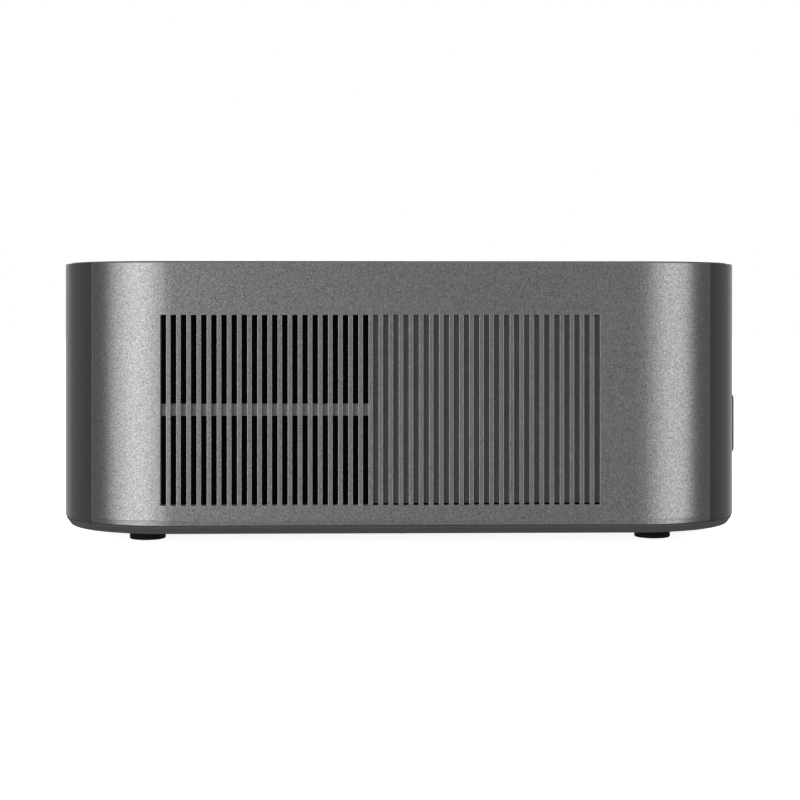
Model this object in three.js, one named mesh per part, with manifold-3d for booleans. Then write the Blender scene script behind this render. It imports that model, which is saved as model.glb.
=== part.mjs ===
import * as THREE from 'three';
import { mergeVertices } from 'three/addons/utils/BufferGeometryUtils.js';
import Module from 'manifold-3d';

const wasm = await Module();
wasm.setup();

// An ultra-short-throw home projector, in millimetres with +Z up. It stands on four screwed feet at Z = 0.
// The front, with the loudspeakers, looks along -Y into the room. The rear, with the sockets, faces the
// wall at +Y. Both sides carry the same slotted metal panel. The light leaves by a covered well in the top.

// Housing outline: corners swell from flat to flat as superellipse quarters.
const housing_width = 500;
const housing_depth = 388;
const housing_height = 157;
const corner_reach = 68.7;
const corner_power = 2.2;
const corner_step_count = 8;
const wall = 3;
const piece_gap = 0.3;
const seam_gap = 0.4;
const seam_angle = THREE.MathUtils.degToRad(40.7);
const cut_overrun = 2;
const weld_distance = 1e-4;

// Base tray, with its sloping side and the upstand that the panels close over.
const foot_clearance = 6.5;
const tray_floor = 2.5;
const tray_step_count = 6;
const tray_slope_inset = 12;
const tray_shoulder_inset = 3;
const tray_shoulder_rise = 1.2;
const tray_edge_inset = 0.5;
const tray_edge_z = 11.7;
const tray_edge_drop = 0.8;
const upstand_height = 8;
const upstand_wall = 2;
const tray_valley_inset = 12;
const tray_valley_rise = 3;
const standoff_radius = 4;
const standoff_height = 7;
const standoff_inset = 8;
const post_side_count = 8;

// Side panels: a painted metal shell with a small lip round its foot.
const lip_inset = 0.6;
const lip_z = 15.1;
const rim_chamfer = 0.5;
const plate_proud = 0.5;

// The slots of both side panels.
const slot_pitch = 5.52;
const slot_width = 3.2;
const slot_bottom = 23.6;
const slot_top_drop = 29.1;
const slot_front_inset = 61.95;
const slot_rear_inset = 16.5;
const open_slot_count = 21;
const blind_slot_depth = 1.8;

// The frame behind the open slots, with its level bar, and the dust screen behind the frame.
const vent_bar_height = 6.6;
const vent_frame_rail = 2.5;
const vent_frame_depth = 2;
const vent_frame_setback = 1;
const screen_thickness = 0.8;

// Front cover with the loudspeaker grille and the receiver window.
const grille_slot_count = 47;
const grille_border = 5;
const grille_thickness = 2.6;
const window_width = 24;
const window_height = 8;
const window_drop = 15.5;
const window_flange = 2;

// Rear cover, its power button and the proud frame of the socket field.
const button_x = -120;
const button_z = 63;
const button_radius = 7;
const button_proud = 0.8;
const button_collar = 2;
const button_collar_length = 3;
const button_stem_radius = 3;
const button_stem_length = 8;
const bezel_side_inset = 3.3;
const bezel_width = 210;
const bezel_bottom = 46;
const bezel_top = 80;
const bezel_proud = 4.7;
const bezel_border = 6;
const bezel_overlap = 3;
const bezel_floor = 2;
const bezel_recess = 10;
const bezel_chamfer = 0.8;

// Top plate and the opening for the light.
const plate_thickness = 3.6;
const plate_chamfer = 0.6;
const plate_undercut = 0.3;
const light_opening_width = 204;
const light_opening_front = -4;
const light_opening_rear_inset = 78;
const light_opening_radius = 12;
const round_step_count = 3;

// Sliding lens cover, its rails and its rack drive.
const cover_lap = 8;
const cover_thickness = 2.5;
const cover_headroom = 0.4;
const cover_side_lap = 23;
const cover_corner = 6;
const rail_ledge = 8;
const rail_width = 14;
const rail_depth = 7.4;
const gear_module = 1.25;
const pinion_tooth_count = 16;
const pinion_offset = 36;
const pinion_height = 4;
const rack_height = 4.3;
const rack_side_play = 4;
const rack_back = 6;
const rack_lead = 40;
const rack_rear_margin = 14;
const tooth_play = 0.3;
const tooth_addendum_share = 0.8;
const tooth_dedendum_share = 1.25;
const pressure_angle = THREE.MathUtils.degToRad(20);
const motor_radius = 12;
const motor_length = 30;
const motor_flange = 2.5;
const motor_flange_half_width = 14;
const motor_shaft_radius = 2;

// Light well and exit glass.
const well_wall = 2;
const well_rim = 2;
const well_margin = 2;
const well_depth = 26;
const well_taper = 18;
const well_corner = 14;
const glass_thickness = 3;
const glass_lap = 4;
const well_tilt = 0.08;

// Curved mirror and its bracket.
const mirror_half_width = 72;
const mirror_drop = 11;
const mirror_height = 50;
const mirror_clearance = 65.7;
const lens_place_share = 0.4432;
const mirror_bow_radius = 130;
const mirror_rise_radius = 110;
const mirror_lean = 0.35;
const mirror_thickness = 5;
const mirror_step_count = 6;
const bracket_thickness = 4;
const bracket_half_width = 42;
const bracket_leg = 22;

// Lens barrel on the optical axis, focus ring and focus drive.
const lens_rise = 8.25;
const barrel_flange_radius = 40;
const barrel_flange_length = 6;
const barrel_rear_radius = 34;
const barrel_ring_radius = 30;
const barrel_front_radius = 27;
const barrel_bore_radius = 22;
const barrel_bore_depth = 12;
const barrel_glass_radius_share = 0.5;
const barrel_glass_depth_shares = [0.5, 0.6];
const round_side_count = 18;
const small_side_count = 12;
const ring_place_share = 0.347;
const ring_length = 10;
const ring_tooth_count = 64;
const ring_sector_tooth_count = 13;
const focus_tooth_count = 16;
const focus_motor_radius = 10;
const focus_play = 1.5;

// Optical engine, chip heat sink, colour wheel and laser bank.
const engine_half_width = 62;
const engine_depth = 55;
const engine_rear_inset = 29;
const engine_drop = 40;
const engine_rise = 37;
const engine_corner = 9;
const engine_lid = 4;
const engine_lid_lap = 3;
const engine_leg_radius = 7;
const engine_leg_inset = 12;
const chip_board_thickness = 1.6;
const chip_board_margin = 6;
const fin_thickness = 1.6;
const fin_pitch = 6;
const chip_fin_count = 8;
const chip_sink_depth = 26;
const sink_base = 5;
const wheel_radius = 28;
const wheel_thickness = 1.2;
const wheel_hub_radius = 9;
const wheel_hub_length = 4;
const wheel_clearance = 4;
const wheel_motor_radius = 11;
const wheel_motor_length = 17;
const laser_pipe_lead = 7;
const laser_height = 50;
const laser_margin = 3;
const laser_leg = 6;
const laser_can_radius = 6;
const laser_can_length = 3;
const laser_row_count = 3;
const laser_column_count = 3;
const laser_can_side_count = 8;

// Left heat sink and heat pipes.
const sink_width = 60;
const sink_fin_count = 13;
const sink_pitch = 7.8;
const sink_fin = 1.8;
const pipe_radius = 4;
const pipe_side_count = 8;
const pipe_step_count = 10;
const pipe_rise = 9;
const pipe_bend = 20;

// Fans, one behind each field of open slots.
const fan_size = 100;
const fan_depth = 25;
const fan_bore_radius = 46;
const fan_bore_side_count = 26;
const fan_play = 1.5;
const fan_hub_radius = 19;
const fan_offset = 57.05;
const fan_blade_count = 7;
const fan_blade_thickness = 1.6;
const fan_blade_sweep = 8;
const fan_blade_camber = 2.5;
const fan_strut_width = 5;
const fan_strut_depth = 3;
const fan_corner = 8;
const fan_corner_step_count = 3;
const fan_strut_count = 3;
const fan_motor_gap = 0.4;
const fan_blade_inset = 3;

// Circuit boards.
const board_thickness = 1.6;
const board_side_inset = 35;
const main_board_width = 130;
const main_board_fan_clearance = 10;
const main_board_laser_clearance = 23;
const power_board_engine_clearance = 35;
const power_board_fan_clearance = 20;
const power_board_rear_inset = 63;
const chip_side = 34;
const chip_place_share = 0.55;
const memory_place_share = 0.3;
const chip_fins = 6;
const chip_sink_height = 16;
const transformer_width = 36;
const transformer_height = 32;
const winding_radius_share = 0.6;
const winding_height_share = 0.75;
const capacitor_radius = 11;
const capacitor_height = 38;
const capacitor_pitch = 28;
const can_side_count = 12;

// Loudspeaker boxes and their drivers.
const box_width = 105;
const box_inner_x = 30;
const box_depth = 50;
const box_headroom = 19.1;
const box_corner = 8;
const woofer_radius = 39;
const woofer_z = 60;
const woofer_side_inset = 42;
const woofer_seat_depth = 5;
const woofer_cone_depth = 12;
const woofer_rim = 6;
const woofer_rim_shares = [1.6, 1.2, 0.8];
const woofer_cap_radius = 12;
const woofer_cap_share = 0.7;
const tweeter_radius = 13;
const tweeter_drop = 16.3;
const tweeter_side_inset = 16;
const tweeter_depth = 3;
const tweeter_dome_shares = [0.8, 0.5];

// Sockets, all looking out of the rear frame.
const socket_z = 63;
const socket_wall = 1;
const socket_proud = 1;
const socket_depth = 16;
const tongue_setback = 6;
const mains_offset = 28;
const mains_width = 27;
const mains_height = 19;
const mains_depth = 24;
const mains_wall = 1.6;
const mains_cavity = 17;
const blade_width = 2;
const blade_height = 5;
const blade_spread = 7;
const blade_setback = 6;
const picture_socket_width = 16;
const picture_socket_height = 7;
const picture_socket_offsets = [76, 102];
const picture_tongue_width = 10;
const data_socket_offset = 130;
const data_socket_width = 14.6;
const data_socket_height = 7.6;
const data_tongue_width = 11.6;
const network_socket_offset = 162;
const network_socket_width = 16.4;
const network_socket_height = 14;
const network_socket_wall = 2;
const network_tongue_drop = 3;
const tongue_thickness = 1.4;
const connector_board_margin = 8;
const connector_board_bottom = 38;
const connector_board_top = 88;

// Feet.
const foot_radius = 10.2;
const foot_side_inset = 44;
const foot_end_inset = 49.5;
const foot_round = 1.2;
const foot_shoulder = 0.26;
const stem_radius = 4;
const stem_play = 0.35;
const stem_socket = 3;
const stem_length = 26;
const foot_boss_radius = 8;
const foot_boss_height = 16;
const foot_side_count = 16;

// Levels and faces that several pieces share.
const half_width = housing_width / 2;
const half_depth = housing_depth / 2;
const floor_top = foot_clearance + tray_floor;
const seat_z = floor_top + piece_gap;
const shell_bottom = tray_edge_z + piece_gap;
const rim_z = housing_height - plate_proud;
const upstand_top = tray_edge_z + upstand_height;
const foot_x = half_width - foot_side_inset;
const foot_y = half_depth - foot_end_inset;

const slot_top = rim_z - slot_top_drop;
const slot_front_y = -half_depth + slot_front_inset;
const slot_rear_limit = half_depth - corner_reach - slot_rear_inset;
const slot_count = 1 + Math.floor((slot_rear_limit - slot_front_y - slot_width) / slot_pitch);
const vent_bar_bottom = (slot_bottom + slot_top - vent_bar_height) / 2;
const vent_bar_top = vent_bar_bottom + vent_bar_height;
const window_z = rim_z - window_drop;

const bezel_end_x = half_width - corner_reach - bezel_side_inset;
const bezel_inner_x = bezel_end_x - bezel_width;
const bezel_face_y = half_depth + piece_gap + bezel_proud;
const bezel_floor_y = bezel_face_y - bezel_recess;
const mains_x = bezel_end_x - mains_offset;
const picture_socket_x = picture_socket_offsets.map((offset) => bezel_end_x - offset);
const data_socket_x = bezel_end_x - data_socket_offset;
const network_socket_x = bezel_end_x - network_socket_offset;

const plate_bottom = housing_height - plate_thickness;
const light_opening_rear = half_depth - light_opening_rear_inset;
const cover_top = plate_bottom - cover_headroom;
const cover_bottom = cover_top - cover_thickness;
const cover_half_width = light_opening_width / 2 + cover_side_lap;
const well_top = cover_bottom - piece_gap;
const rack_line_x = cover_half_width - rail_ledge - rack_side_play - rack_back;
const rack_front_y = light_opening_front - cover_lap - rack_lead;
const pinion_y = light_opening_front - pinion_offset;

const box_front_y = -half_depth + tray_valley_inset + piece_gap;
const box_top = plate_bottom - box_headroom;
const lens_z = (seat_z + well_top - well_depth) / 2 + lens_rise;
const mirror_y = box_front_y + box_depth + mirror_clearance;
const mirror_bottom = lens_z - mirror_drop;
const engine_rear_y = half_depth - engine_rear_inset;
const engine_front_y = engine_rear_y - engine_depth;
const barrel_front_y = mirror_y + (engine_front_y - mirror_y) * lens_place_share;
const engine_middle_y = (engine_front_y + engine_rear_y) / 2;
const engine_bottom = lens_z - engine_drop;
const engine_top = lens_z + engine_rise;
const ring_y = barrel_front_y + (engine_front_y - barrel_front_y) * ring_place_share;

const fan_centre_y = slot_front_y + fan_offset;
const fan_rear_y = fan_centre_y + fan_size / 2;
const fan_outer_x = half_width - tray_valley_inset - piece_gap;
const sink_outer_x = fan_outer_x - fan_depth - piece_gap;
const board_z = seat_z + standoff_height;
const main_board = {
  x0: -half_width + board_side_inset,
  x1: -half_width + board_side_inset + main_board_width,
  y0: fan_rear_y + main_board_fan_clearance,
  y1: engine_front_y + laser_margin + laser_leg - main_board_laser_clearance,
};
const power_board = {
  x0: engine_half_width + power_board_engine_clearance,
  x1: half_width - board_side_inset,
  y0: fan_rear_y + power_board_fan_clearance,
  y1: half_depth - power_board_rear_inset,
};

const paint = { colour: '#5c5d5e', roughness: 0.45, metalness: 0.7 };
const satin = { colour: '#2b2b2c', roughness: 0.4, metalness: 0.1 };
const tray_plastic = { colour: '#3a3a3b', roughness: 0.5, metalness: 0.1 };
const black = { colour: '#0c0c0d', roughness: 0.6, metalness: 0 };
const rubber = { colour: '#0a0a0a', roughness: 0.9, metalness: 0 };
const aluminium = { colour: '#a9abad', roughness: 0.4, metalness: 0.9 };
const copper = { colour: '#b4683c', roughness: 0.35, metalness: 0.95 };
const board_green = { colour: '#1d4a32', roughness: 0.6, metalness: 0 };
const glass = { colour: '#16181c', roughness: 0.05, metalness: 0 };
const silver = { colour: '#d4d6d8', roughness: 0.08, metalness: 1 };
const steel = { colour: '#8f9294', roughness: 0.35, metalness: 0.9 };
const nylon = { colour: '#d8d6cf', roughness: 0.6, metalness: 0 };

// Closed solids and boolean work.

function solidOf(geometry) {
  const bare = geometry.clone();
  bare.deleteAttribute('normal');
  bare.deleteAttribute('uv');
  const merged = mergeVertices(bare, weld_distance);
  const index = Array.from(merged.index.array);
  const kept = [];
  for (let i = 0; i < index.length; i += 3) {
    const [a, b, c] = index.slice(i, i + 3);
    if (a !== b && b !== c && c !== a) {
      kept.push(a, b, c);
    }
  }
  const vertProperties = new Float32Array(merged.attributes.position.array);
  return new wasm.Manifold(new wasm.Mesh({ numProp: 3, vertProperties, triVerts: new Uint32Array(kept) }));
}

function geometryOf(solid) {
  const mesh = solid.getMesh();
  const geometry = new THREE.BufferGeometry();
  geometry.setAttribute('position', new THREE.BufferAttribute(new Float32Array(mesh.vertProperties), 3));
  geometry.setIndex(Array.from(mesh.triVerts));
  geometry.computeVertexNormals();
  return geometry;
}

function join(...geometries) {
  return geometryOf(geometries.map(solidOf).reduce((sum, next) => sum.add(next)));
}

function cut(body, ...tools) {
  return geometryOf(tools.map(solidOf).reduce((rest, tool) => rest.subtract(tool), solidOf(body)));
}

const assembly = new THREE.Group();

function place(name, geometry, look) {
  const material = new THREE.MeshStandardMaterial({
    color: look.colour,
    roughness: look.roughness,
    metalness: look.metalness,
  });
  const mesh = new THREE.Mesh(geometry, material);
  mesh.name = name;
  assembly.add(mesh);
}

// A box between two corners.
function block(x0, x1, y0, y1, z0, z1) {
  const box = new THREE.BoxGeometry(x1 - x0, y1 - y0, z1 - z0);
  return box.translate((x0 + x1) / 2, (y0 + y1) / 2, (z0 + z1) / 2);
}

// A closed skin through outlines of equal point count, each a list of [x, y, z], the lowest first.
function loft(outlines) {
  const drawnClockwise = THREE.ShapeUtils.area(outlines[0].map((p) => new THREE.Vector2(p[0], p[1]))) < 0;
  const rings = outlines.map((ring) => (drawnClockwise ? [...ring].reverse() : ring));
  const count = rings[0].length;
  const positions = rings.flat(2);
  const index = [];
  for (let level = 0; level < rings.length - 1; level += 1) {
    for (let i = 0; i < count; i += 1) {
      const low = level * count + i;
      const lowNext = level * count + (i + 1) % count;
      index.push(low, lowNext, lowNext + count, low, lowNext + count, low + count);
    }
  }
  const flat = (ring) => ring.map((p) => new THREE.Vector2(p[0], p[1]));
  const capOf = (ring) => THREE.ShapeUtils.triangulateShape(flat(ring), []);
  const last = (rings.length - 1) * count;
  for (const [a, b, c] of capOf(rings[0])) {
    index.push(c, b, a);
  }
  for (const [a, b, c] of capOf(rings[rings.length - 1])) {
    index.push(last + a, last + b, last + c);
  }
  const geometry = new THREE.BufferGeometry();
  geometry.setAttribute('position', new THREE.Float32BufferAttribute(positions, 3));
  geometry.setIndex(index);
  return geometry;
}

function atLevel(points, z) {
  return points.map(([x, y]) => [x, y, z]);
}

function prism(points, z0, z1) {
  return loft([atLevel(points, z0), atLevel(points, z1)]);
}

// Turns a shape drawn in its own X and Y, with its height along Z, so that the height runs along X or Y.
function alongX(geometry) {
  const basis = new THREE.Matrix4();
  basis.makeBasis(new THREE.Vector3(0, 1, 0), new THREE.Vector3(0, 0, 1), new THREE.Vector3(1, 0, 0));
  return geometry.applyMatrix4(basis);
}

function alongY(geometry) {
  const basis = new THREE.Matrix4();
  basis.makeBasis(new THREE.Vector3(0, 0, 1), new THREE.Vector3(1, 0, 0), new THREE.Vector3(0, 1, 0));
  return geometry.applyMatrix4(basis);
}

// A turned solid about Z from a profile of [radius, height] that starts and ends on the axis.
function turned(profile, sides = round_side_count) {
  const points = profile.map(([radius, height]) => new THREE.Vector2(radius, height));
  const lathe = new THREE.LatheGeometry(points, sides);
  return lathe.rotateX(Math.PI / 2);
}

function rod(radius, z0, z1, sides = round_side_count) {
  return turned([[0, z0], [radius, z0], [radius, z1], [0, z1]], sides);
}

// A round hole for a turning piece: its flats, not its corners, stand at the radius.
function clearBore(radius, z0, z1, sides = round_side_count) {
  return rod(radius / Math.cos(Math.PI / sides), z0, z1, sides);
}

function roundedRectangle(x0, x1, y0, y1, radius, steps = round_step_count) {
  const points = [];
  const corners = [[x1 - radius, y0 + radius, -1], [x1 - radius, y1 - radius, 0],
    [x0 + radius, y1 - radius, 1], [x0 + radius, y0 + radius, 2]];
  for (const [cx, cy, quarter] of corners) {
    for (let i = 0; i <= steps; i += 1) {
      const angle = (quarter + i / steps) * Math.PI / 2;
      points.push([cx + radius * Math.cos(angle), cy + radius * Math.sin(angle)]);
    }
  }
  return points;
}

// Housing outline. Angle 0 faces the side, a right angle faces the front or rear.

function cornerPoint(sideX, sideY, angle, inset) {
  const reach = corner_reach - inset;
  const across = reach * Math.max(Math.cos(angle), 0) ** (2 / corner_power);
  const along = reach * Math.max(Math.sin(angle), 0) ** (2 / corner_power);
  return [sideX * (half_width - corner_reach + across), sideY * (half_depth - corner_reach + along)];
}

function cornerRun(sideX, sideY, from, to, inset, steps = corner_step_count) {
  const points = [];
  for (let i = 0; i <= steps; i += 1) {
    points.push(cornerPoint(sideX, sideY, from + (to - from) * i / steps, inset));
  }
  return points;
}

function housingOutline(inset, steps = corner_step_count) {
  const right = Math.PI / 2;
  return [
    ...cornerRun(1, -1, right, 0, inset, steps),
    ...cornerRun(1, 1, 0, right, inset, steps),
    ...cornerRun(-1, 1, right, 0, inset, steps),
    ...cornerRun(-1, -1, 0, right, inset, steps),
  ];
}

function sideRun(side, inset) {
  const first = cornerRun(side, -side, seam_angle, 0, inset);
  const second = cornerRun(side, side, 0, seam_angle, inset);
  return [...first, ...second];
}

function endRun(end, inset) {
  const start = seam_angle + seam_gap / corner_reach;
  const right = Math.PI / 2;
  const first = cornerRun(end, end, start, right, inset);
  const second = cornerRun(-end, end, right, start, inset);
  return [...first, ...second];
}

// A shell that follows a run of the outline: each level is [outer inset, height].
function shell(run, levels) {
  const inner = run(wall).reverse();
  return loft(levels.map(([inset, z]) => atLevel([...run(inset), ...inner], z)));
}

// Gear outlines: involute flanks with play, tooth 0 or gap 0 pointing along +X.

function involute(angle) {
  return Math.tan(angle) - angle;
}

function toothFlank(teeth, radius) {
  const pitchRadius = gear_module * teeth / 2;
  const baseRadius = pitchRadius * Math.cos(pressure_angle);
  const halfAtPitch = Math.PI / (2 * teeth) - tooth_play / (2 * pitchRadius);
  const angle = Math.acos(Math.min(1, baseRadius / Math.max(radius, baseRadius)));
  return halfAtPitch + involute(pressure_angle) - involute(angle);
}

function tooth(teeth, centre) {
  const pitchRadius = gear_module * teeth / 2;
  const root = pitchRadius - gear_module * tooth_dedendum_share;
  const tip = pitchRadius + gear_module * tooth_addendum_share;
  const radii = [root, pitchRadius, tip];
  const rising = radii.map((r) => [r, centre - toothFlank(teeth, r)]);
  const falling = radii.map((r) => [r, centre + toothFlank(teeth, r)]).reverse();
  return [...rising, ...falling].map(([r, a]) => [r * Math.cos(a), r * Math.sin(a)]);
}

function gearOutline(teeth) {
  const points = [];
  for (let i = 0; i < teeth; i += 1) {
    points.push(...tooth(teeth, 2 * Math.PI * i / teeth));
  }
  return points;
}

// Housing pieces.

function standoffs(board) {
  const posts = [];
  const foot = floor_top - tray_floor / 2;
  for (const x of [board.x0 + standoff_inset, board.x1 - standoff_inset]) {
    for (const y of [board.y0 + standoff_inset, board.y1 - standoff_inset]) {
      const post = rod(standoff_radius, foot, floor_top + standoff_height, post_side_count);
      posts.push(post.translate(x, y, 0));
    }
  }
  return posts;
}

function baseTray() {
  const inside = wall + piece_gap;
  const levels = [
    [tray_slope_inset, foot_clearance],
    [tray_shoulder_inset, foot_clearance + tray_shoulder_rise],
    [tray_edge_inset, tray_edge_z - tray_edge_drop],
    [tray_edge_inset, tray_edge_z],
    [inside, tray_edge_z],
    [inside, upstand_top],
    [inside + upstand_wall, upstand_top],
    [inside + upstand_wall, floor_top + tray_valley_rise],
    [tray_valley_inset, floor_top],
  ];
  const shellOfTray = loft(levels.map(([inset, z]) => atLevel(housingOutline(inset, tray_step_count), z)));
  const additions = [...standoffs(main_board), ...standoffs(power_board)];
  const bossFoot = floor_top - tray_floor / 2;
  const holes = [];
  for (const x of [-foot_x, foot_x]) {
    for (const y of [-foot_y, foot_y]) {
      const boss = rod(foot_boss_radius, bossFoot, floor_top + foot_boss_height, foot_side_count);
      additions.push(boss.translate(x, y, 0));
      const bore = rod(stem_radius + stem_play, foot_clearance - cut_overrun,
        floor_top + foot_boss_height + cut_overrun, foot_side_count);
      holes.push(bore.translate(x, y, 0));
    }
  }
  return cut(join(shellOfTray, ...additions), ...holes);
}

function slotBoxes(side) {
  const tools = [];
  for (let i = 0; i < slot_count; i += 1) {
    const front = slot_front_y + i * slot_pitch;
    const depth = i < open_slot_count ? wall + cut_overrun : blind_slot_depth;
    const outer = half_width + cut_overrun;
    const inner = half_width - depth;
    const [x0, x1] = side > 0 ? [inner, outer] : [-outer, -inner];
    tools.push(block(x0, x1, front, front + slot_width, slot_bottom, slot_top));
  }
  return tools;
}

function sidePanel(side) {
  const levels = [[lip_inset, shell_bottom], [0, lip_z], [0, rim_z - rim_chamfer], [rim_chamfer, rim_z]];
  return cut(shell((inset) => sideRun(side, inset), levels), ...slotBoxes(side));
}

function endShell(end) {
  const levels = [[0, shell_bottom], [0, rim_z - rim_chamfer], [rim_chamfer, rim_z]];
  return shell((inset) => endRun(end, inset), levels);
}

const grille_half_width = (slot_width + (grille_slot_count - 1) * slot_pitch) / 2 + grille_border;
const grille_bottom = slot_bottom - grille_border;
const grille_top = slot_top + grille_border;

function frontCover() {
  const outer = -half_depth - cut_overrun;
  const inner = -half_depth + wall + cut_overrun;
  const grilleHole = block(-grille_half_width, grille_half_width, outer, inner, grille_bottom, grille_top);
  const windowHole = alongY(prism(roundedRectangle(window_z - window_height / 2, window_z + window_height / 2,
    -window_width / 2, window_width / 2, window_height / 2 - piece_gap), outer, inner));
  return cut(endShell(-1), grilleHole, windowHole);
}

function speakerGrille() {
  const gap = piece_gap;
  const front = -half_depth;
  const plate = block(-grille_half_width + gap, grille_half_width - gap, front, front + grille_thickness,
    grille_bottom + gap, grille_top - gap);
  const slots = [];
  for (let i = 0; i < grille_slot_count; i += 1) {
    const left = -grille_half_width + grille_border + i * slot_pitch;
    slots.push(block(left, left + slot_width, front - cut_overrun, front + grille_thickness + cut_overrun,
      slot_bottom, slot_top));
  }
  return cut(plate, ...slots);
}

function receiverWindow() {
  const half = window_width / 2 - piece_gap;
  const tall = window_height / 2 - piece_gap;
  const lens = roundedRectangle(window_z - tall, window_z + tall, -half, half, tall - piece_gap);
  const behind = -half_depth + wall + piece_gap;
  const flange = roundedRectangle(window_z - tall - window_flange, window_z + tall + window_flange,
    -half - window_flange, half + window_flange, tall - piece_gap + window_flange);
  return join(alongY(prism(lens, -half_depth + piece_gap, behind + window_flange / 2)),
    alongY(prism(flange, behind, behind + window_flange)));
}

const bezel_window = {
  x0: bezel_inner_x + bezel_overlap,
  x1: bezel_end_x - bezel_overlap,
  z0: bezel_bottom + bezel_overlap,
  z1: bezel_top - bezel_overlap,
};

function rearCover() {
  const outer = half_depth + cut_overrun;
  const inner = half_depth - wall - cut_overrun;
  const fieldHole = block(bezel_window.x0, bezel_window.x1, inner, outer, bezel_window.z0, bezel_window.z1);
  const buttonHole = alongY(rod(button_radius + piece_gap, inner, outer).translate(button_z, button_x, 0));
  return cut(endShell(1), fieldHole, buttonHole);
}

function socketHoles() {
  const fields = [
    [mains_x, mains_width, mains_height],
    ...picture_socket_x.map((x) => [x, picture_socket_width, picture_socket_height]),
    [data_socket_x, data_socket_width, data_socket_height],
    [network_socket_x, network_socket_width, network_socket_height],
  ];
  return fields.map(([x, width, height]) => {
    const halfWide = width / 2 + piece_gap;
    const halfTall = height / 2 + piece_gap;
    return block(x - halfWide, x + halfWide, bezel_floor_y - bezel_floor - cut_overrun,
      bezel_floor_y + cut_overrun, socket_z - halfTall, socket_z + halfTall);
  });
}

function socketBezel() {
  const gap = piece_gap;
  const back = half_depth + gap;
  const flat = roundedRectangle(bezel_bottom, bezel_top, bezel_inner_x, bezel_end_x, bezel_overlap);
  const drawn = roundedRectangle(bezel_bottom + bezel_chamfer, bezel_top - bezel_chamfer,
    bezel_inner_x + bezel_chamfer, bezel_end_x - bezel_chamfer, bezel_overlap - bezel_chamfer);
  const face = alongY(loft([atLevel(flat, back), atLevel(flat, bezel_face_y - bezel_chamfer),
    atLevel(drawn, bezel_face_y)]));
  const neck = block(bezel_window.x0 + gap, bezel_window.x1 - gap, bezel_floor_y - bezel_floor,
    back + bezel_proud / 2, bezel_window.z0 + gap, bezel_window.z1 - gap);
  const recess = block(bezel_inner_x + bezel_border, bezel_end_x - bezel_border, bezel_floor_y,
    bezel_face_y + cut_overrun, bezel_bottom + bezel_border, bezel_top - bezel_border);
  return cut(join(face, neck), recess, ...socketHoles());
}

function powerButton() {
  const collarOuter = half_depth - wall - piece_gap;
  const collarInner = collarOuter - button_collar_length;
  const profile = [
    [0, collarInner - button_stem_length],
    [button_stem_radius, collarInner - button_stem_length],
    [button_stem_radius, collarInner],
    [button_radius + button_collar, collarInner],
    [button_radius + button_collar, collarOuter],
    [button_radius, collarOuter],
    [button_radius, half_depth + button_proud / 2],
    [button_radius - button_proud / 2, half_depth + button_proud],
    [0, half_depth + button_proud],
  ];
  return alongY(turned(profile, foot_side_count).translate(button_z, button_x, 0));
}

function topPlate() {
  const inside = wall + piece_gap;
  const plate = loft([
    atLevel(housingOutline(inside + plate_undercut), plate_bottom),
    atLevel(housingOutline(inside), plate_bottom + plate_undercut),
    atLevel(housingOutline(inside), housing_height - plate_chamfer),
    atLevel(housingOutline(inside + plate_chamfer), housing_height),
  ]);
  const half = light_opening_width / 2;
  const opening = prism(roundedRectangle(-half, half, light_opening_front, light_opening_rear,
    light_opening_radius), plate_bottom - cut_overrun, housing_height + cut_overrun);
  return cut(plate, opening);
}

// Vent frame with its level bar, and the dust screen.

const vent_front_y = slot_front_y - vent_frame_rail;
const vent_rear_y = slot_front_y + (open_slot_count - 1) * slot_pitch + slot_width + vent_frame_rail;

function ventFrame(side) {
  const outer = half_width - wall - vent_frame_setback;
  const bottom = upstand_top + piece_gap;
  const top = slot_top + vent_frame_rail;
  const rail = vent_frame_rail;
  const [x0, x1] = side > 0 ? [outer - vent_frame_depth, outer] : [-outer, -outer + vent_frame_depth];
  const plate = block(x0, x1, vent_front_y, vent_rear_y, bottom, top);
  const over = cut_overrun;
  return cut(plate,
    block(x0 - over, x1 + over, vent_front_y + rail, vent_rear_y - rail, slot_bottom, vent_bar_bottom),
    block(x0 - over, x1 + over, vent_front_y + rail, vent_rear_y - rail, vent_bar_top, slot_top));
}

function ventScreen(side) {
  const outer = half_width - wall - vent_frame_setback - vent_frame_depth - piece_gap;
  const [x0, x1] = side > 0 ? [outer - screen_thickness, outer] : [-outer, -outer + screen_thickness];
  return block(x0, x1, vent_front_y, vent_rear_y, upstand_top + piece_gap, slot_top + vent_frame_rail);
}

// Sliding cover and its drive.

function lensCover() {
  const width = cover_half_width;
  const front = light_opening_front - cover_lap;
  const rear = light_opening_rear + cover_lap;
  const outline = (inset) => roundedRectangle(-width + inset, width - inset, front + inset, rear - inset,
    cover_corner);
  return loft([
    atLevel(outline(0), cover_bottom),
    atLevel(outline(0), cover_top - cover_headroom),
    atLevel(outline(cover_headroom), cover_top),
  ]);
}

function coverRail(side) {
  const inner = cover_half_width - rail_ledge;
  const ledgeTop = cover_bottom - piece_gap;
  const bottom = plate_bottom - piece_gap - rail_depth;
  const top = plate_bottom - piece_gap;
  const shoulder = cover_half_width + piece_gap;
  const outline = [[bottom, inner], [bottom, inner + rail_width], [top, inner + rail_width], [top, shoulder],
    [ledgeTop, shoulder], [ledgeTop, inner]];
  const front = rack_front_y - (light_opening_rear - light_opening_front);
  const solid = solidOf(alongY(prism(outline, front, light_opening_rear + cover_lap)));
  return geometryOf(side > 0 ? solid : solid.mirror([1, 0, 0]));
}

const pinion_radius = gear_module * pinion_tooth_count / 2;
const pinion_x = rack_line_x - pinion_radius;
const rack_top = cover_bottom - piece_gap;

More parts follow.
